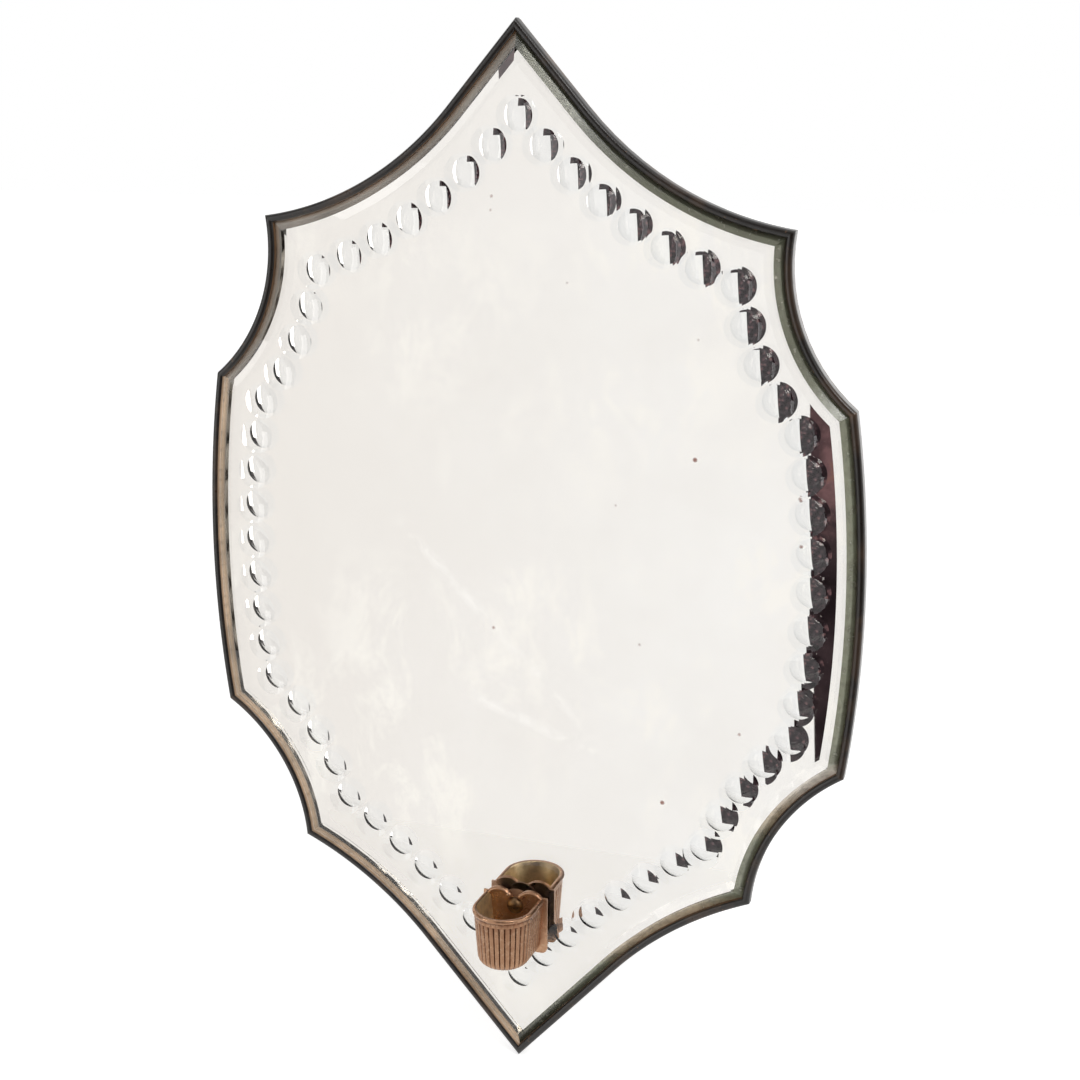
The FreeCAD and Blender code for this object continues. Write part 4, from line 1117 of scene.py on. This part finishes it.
class MIRROR_OT_back_plate(bpy.types.Operator):
    """Back plate of the cup with its two raised lobes."""

    bl_idname = "mirror.back_plate"
    bl_label = "Cup back plate"

    def execute(self, context):
        sizes = context.scene.mirror_cup
        half, low, high = PLATE_HIGH.x, PLATE_LOW.z, CUP_HIGH.z
        corner = sizes.plate_corner
        notch = sizes.lobe_notch / 2
        shelf = half - sizes.lobe_edge
        bm = bmesh.new()
        vert = extend(bm, bm.verts.new((0, PLATE_HIGH.y, low)), (half - corner, 0, 0))
        turn_place = (half - corner, PLATE_HIGH.y, low + corner)
        vert = spin(bm, [vert], turn_place, (0, 1, 0), -math.pi / 2, 8)[0]
        for place in ((half, high), (shelf, high)):
            vert = extend(bm, vert)
            vert.co.x, vert.co.z = place
        for start, end, bow, side in (
            (flat(shelf, high), flat(notch, high), sizes.lobe_rise, 1),
            (flat(notch, high), flat(0, high - sizes.notch_dip), 0.35 * MM, -1),
        ):
            run = (start, end, bowed_centre(start, end, bow, side))
            vert = draw_run(bm, vert, run, steps_of(run, 0.7 * MM))
        bmesh.ops.mirror(
            bm, geom=list(bm.verts) + list(bm.edges), matrix=Matrix.Identity(4), merge_dist=1e-6,
            axis="X",
        )
        rim = list(bm.edges)
        ring = bolt_ring(bm, PLATE_HIGH.y, PLATE_HOLE)
        made = bmesh.ops.extrude_face_region(bm, geom=fill(bm, rim + ring, (0, 1, 0)))
        bmesh.ops.translate(bm, verts=verts_of(made["geom"]), vec=(0, PLATE_LOW.y - PLATE_HIGH.y, 0))
        bolt = Vector((0, PLATE_LOW.y, BOLT_HEIGHT))
        edge_line = [
            edge for edge in bm.edges
            if all(abs(vert.co.y - PLATE_LOW.y) < 1e-7 for vert in edge.verts)
            and edge.calc_face_angle(0.0) > 1.0 and (edge.verts[0].co - bolt).length > HOLE_CLEAR
        ]
        bmesh.ops.bevel(
            bm, geom=edge_line, offset=0.35 * MM, affect="EDGES", segments=3, profile=0.5, material=-1,
            clamp_overlap=True,
        )
        for side in (1, -1):
            self.scroll(bm, sizes, flat(shelf, high), flat(notch, high), side)
        plate = finish_mesh(bm, "scrolled_plate", [old_brass(sizes)], math.radians(40))
        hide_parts("cup_back_plate")
        return {"FINISHED"}

    def scroll(self, bm, sizes, start, end, side):
        """Rolled edge along a lobe that ends in a curl beside the notch."""
        radius = sizes.roll_radius
        middle = bowed_centre(start, end, sizes.lobe_rise, 1)
        centre = Vector((middle.x, PLATE_LOW.y - radius * 0.7, middle.z))
        reach = (start - middle).length - radius * 0.8
        spoke = start - middle
        known = set(bm.verts)
        ring = bmesh.ops.create_circle(
            bm, cap_ends=True, segments=14, radius=radius, matrix=Matrix.Translation((reach, 0, 0))
        )["verts"]
        rotate(bm, ring, math.atan2(-spoke.z, spoke.x))
        bmesh.ops.translate(bm, verts=ring, vec=centre)
        cap = list({face for vert in ring for face in vert.link_faces})
        spin(bm, cap, centre, (0, 1, 0), turn_of(start, end, middle), 18)
        for place, size in ((end, 1.5), (start, 1.15)):
            spot = centre + (place - middle).normalized() * reach
            bmesh.ops.create_uvsphere(
                bm, u_segments=16, v_segments=10, radius=radius * size,
                matrix=Matrix.Translation(spot) @ Matrix.Diagonal((1, 0.8, 1, 1)),
            )
        if side < 0:
            made = [vert for vert in bm.verts if vert not in known]
            bmesh.ops.scale(bm, verts=made, vec=(-1, 1, 1))


class MIRROR_OT_carried_parts(bpy.types.Operator):
    """Finishes of the board, paper, silvering, washers, bolt, nut and hanger."""

    bl_idname = "mirror.carried_parts"
    bl_label = "Board, silvering and fittings"

    def execute(self, context):
        steel = metal(
            "grey_steel", (0.16, 0.15, 0.14), (0.42, 0.41, 0.39), 0.5, 0.32, rust=(0.16, 0.07, 0.035)
        )
        brass = metal("hanger_brass", (0.22, 0.145, 0.06), (0.60, 0.44, 0.20), 0.45, 0.25)
        for material, *names in (
            (silver_coat(), "silvering"),
            (brown_paper(), "backing_sheet"),
            (board_wood(), "backboard"),
            (brown_leather(), "glass_washer"),
            (metal("bolt_brass", (0.10, 0.055, 0.03), (0.30, 0.18, 0.085), 0.5, 0.3), "cup_bolt"),
            (steel, "rear_washer", "cup_nut", "hanger_screws"),
            (brass, "hanger_plate", "hanger_ring"),
        ):
            for name in names:
                dress(name, material)
        return {"FINISHED"}


class MIRROR_OT_stage(bpy.types.Operator):
    """Pale floor, what the mirror sees in front of it, lamps and camera."""

    bl_idname = "mirror.stage"
    bl_label = "Stage"

    def execute(self, context):
        sizes = context.scene.mirror_stage
        foot = -context.scene.mirror_outline.foot_tip - FLOOR_GAP
        self.floor(foot)
        self.surround(context, sizes)
        self.cards()
        self.lamp("key_lamp", KEY_PLACE, KEY_SIZE, sizes.key_power)
        self.lamp("window_lamp", WINDOW_PLACE, WINDOW_SIZE, sizes.fill_power)
        self.camera(context, sizes)
        return {"FINISHED"}

    def card(self, name, material, width, height, place, stand=("X", 0), lean=0.0):
        """Flat card: its size, its place, the axis and angle that stand it up, and its lean."""
        bm = bmesh.new()
        bmesh.ops.create_grid(bm, x_segments=1, y_segments=1, size=0.5)
        bmesh.ops.scale(bm, verts=bm.verts, vec=(width, height, 1))
        rotate(bm, bm.verts, stand[1], stand[0])
        rotate(bm, bm.verts, lean)
        bmesh.ops.translate(bm, verts=bm.verts, vec=place)
        mesh = bpy.data.meshes.new(name)
        bm.to_mesh(mesh)
        bm.free()
        mesh.materials.append(material)
        piece = bpy.data.objects.new(name, mesh)
        bpy.context.scene.collection.objects.link(piece)
        return piece

    def floor(self, height):
        """White floor; glass and metal see only its near part, up to an edge in front of the mirror."""
        finish = Finish(
            "pale_floor", Roughness=0.9, Specular_IOR_Level=0.1, Base_Color=(0.80, 0.80, 0.795, 1.0)
        )
        glow = finish.tree.nodes.new("ShaderNodeEmission")
        glow.inputs["Strength"].default_value = FLOOR_GLOW
        both = finish.tree.nodes.new("ShaderNodeAddShader")
        finish.link(finish.shader.outputs[0], both.inputs[0])
        finish.link(glow.outputs[0], both.inputs[1])
        surface = finish.output.inputs["Surface"]
        seen_from_here(finish.tree, both.outputs[0], finish.shader.outputs[0], surface)
        floor = self.card("floor", finish.material, 12, 12, (0, 0, height))
        hide_from(floor, "glossy", "transmission")
        near = self.card("near_floor", finish.material, 12, 6, (0, 3 - NEAR_EDGE, height))
        hide_from(near, "camera", "diffuse", "shadow")

    def surround(self, context, sizes):
        """White to the eye and the mirror, softer as a light."""
        world = bpy.data.worlds.new("studio")
        context.scene.world = world
        world.use_nodes = True
        tree = world.node_tree
        tree.nodes.clear()
        output = tree.nodes.new("ShaderNodeOutputWorld")
        shades = []
        for strength in (1.0, sizes.surround):
            shade = tree.nodes.new("ShaderNodeBackground")
            shade.inputs["Color"].default_value = (1, 1, 1, 1)
            shade.inputs["Strength"].default_value = strength
            shades.append(shade.outputs[0])
        seen_from_here(tree, *shades, output.inputs["Surface"])

    def cards(self):
        """Dark room beyond the floor, which only glass and metal see."""
        finish = Finish(
            "dark_room", Emission_Strength=1.0, Roughness=1.0, Specular_IOR_Level=0.0,
            Base_Color=(0.0, 0.0, 0.0, 1.0),
        )
        shade = finish.noise(3.4, 7.0, 0.62)
        glow = finish.ramp(
            shade, (0.30, (0.004, 0.003, 0.003)), (0.46, (0.018, 0.012, 0.014)),
            (0.58, (0.045, 0.030, 0.034)), (0.66, (0.18, 0.10, 0.105)), (0.78, (0.33, 0.16, 0.07)),
        )
        finish.link(glow, finish.shader.inputs["Emission Color"])
        for name, place in ROOM.items():
            hide_from(self.card(name, finish.material, *place), "camera", "diffuse", "shadow")

    def lamp(self, name, place, size, power):
        light = bpy.data.lights.new(name, "AREA")
        light.shape = "RECTANGLE"
        light.size, light.size_y = size
        light.energy = power
        lamp = bpy.data.objects.new(name, light)
        bpy.context.scene.collection.objects.link(lamp)
        lamp.location = place
        lamp.rotation_euler = (-Vector(place)).to_track_quat("-Z", "Y").to_euler()

    def camera(self, context, sizes):
        data = bpy.data.cameras.new("camera")
        data.lens = sizes.lens
        data.sensor_width = 36.0
        data.sensor_fit = "HORIZONTAL"
        camera = bpy.data.objects.new("camera", data)
        context.scene.collection.objects.link(camera)
        camera.location = sizes.camera_place
        aim = Vector(sizes.camera_aim) - Vector(sizes.camera_place)
        camera.rotation_euler = aim.to_track_quat("-Z", "Y").to_euler()
        context.scene.camera = camera
        context.scene.view_settings.view_transform = "Standard"


class MIRROR_PT_pieces(bpy.types.Panel):
    """Lists the pieces of the mirror."""

    bl_idname = "MIRROR_PT_pieces"
    bl_label = "Girandole mirror"
    bl_space_type = "VIEW_3D"
    bl_region_type = "UI"
    bl_category = "Mirror"

    def draw(self, context):
        for operator in OPERATORS:
            self.layout.operator(operator.bl_idname)


GROUPS = {
    "mirror_outline": OutlineSizes,
    "mirror_beads": BeadSizes,
    "mirror_glass_sizes": GlassSizes,
    "mirror_cut_line": CutLine,
    "mirror_cup": CupSizes,
    "mirror_stage": StageSizes,
}
OPERATORS = (
    MIRROR_OT_glass,
    MIRROR_OT_edge_beads,
    MIRROR_OT_candle_cup,
    MIRROR_OT_back_plate,
    MIRROR_OT_carried_parts,
    MIRROR_OT_stage,
)


def register():
    for group in GROUPS.values():
        bpy.utils.register_class(group)
    for name, group in GROUPS.items():
        setattr(bpy.types.Scene, name, PointerProperty(type=group))
    for operator in OPERATORS:
        bpy.utils.register_class(operator)
    bpy.utils.register_class(MIRROR_PT_pieces)


def unregister():
    bpy.utils.unregister_class(MIRROR_PT_pieces)
    for operator in reversed(OPERATORS):
        bpy.utils.unregister_class(operator)
    for name, group in reversed(GROUPS.items()):
        delattr(bpy.types.Scene, name)
        bpy.utils.unregister_class(group)


def main():
    register()
    bpy.ops.mirror.glass()
    bpy.ops.mirror.edge_beads()
    bpy.ops.mirror.candle_cup()
    bpy.ops.mirror.back_plate()
    bpy.ops.mirror.carried_parts()
    bpy.ops.mirror.stage()


if __name__ == "__main__":
    main()
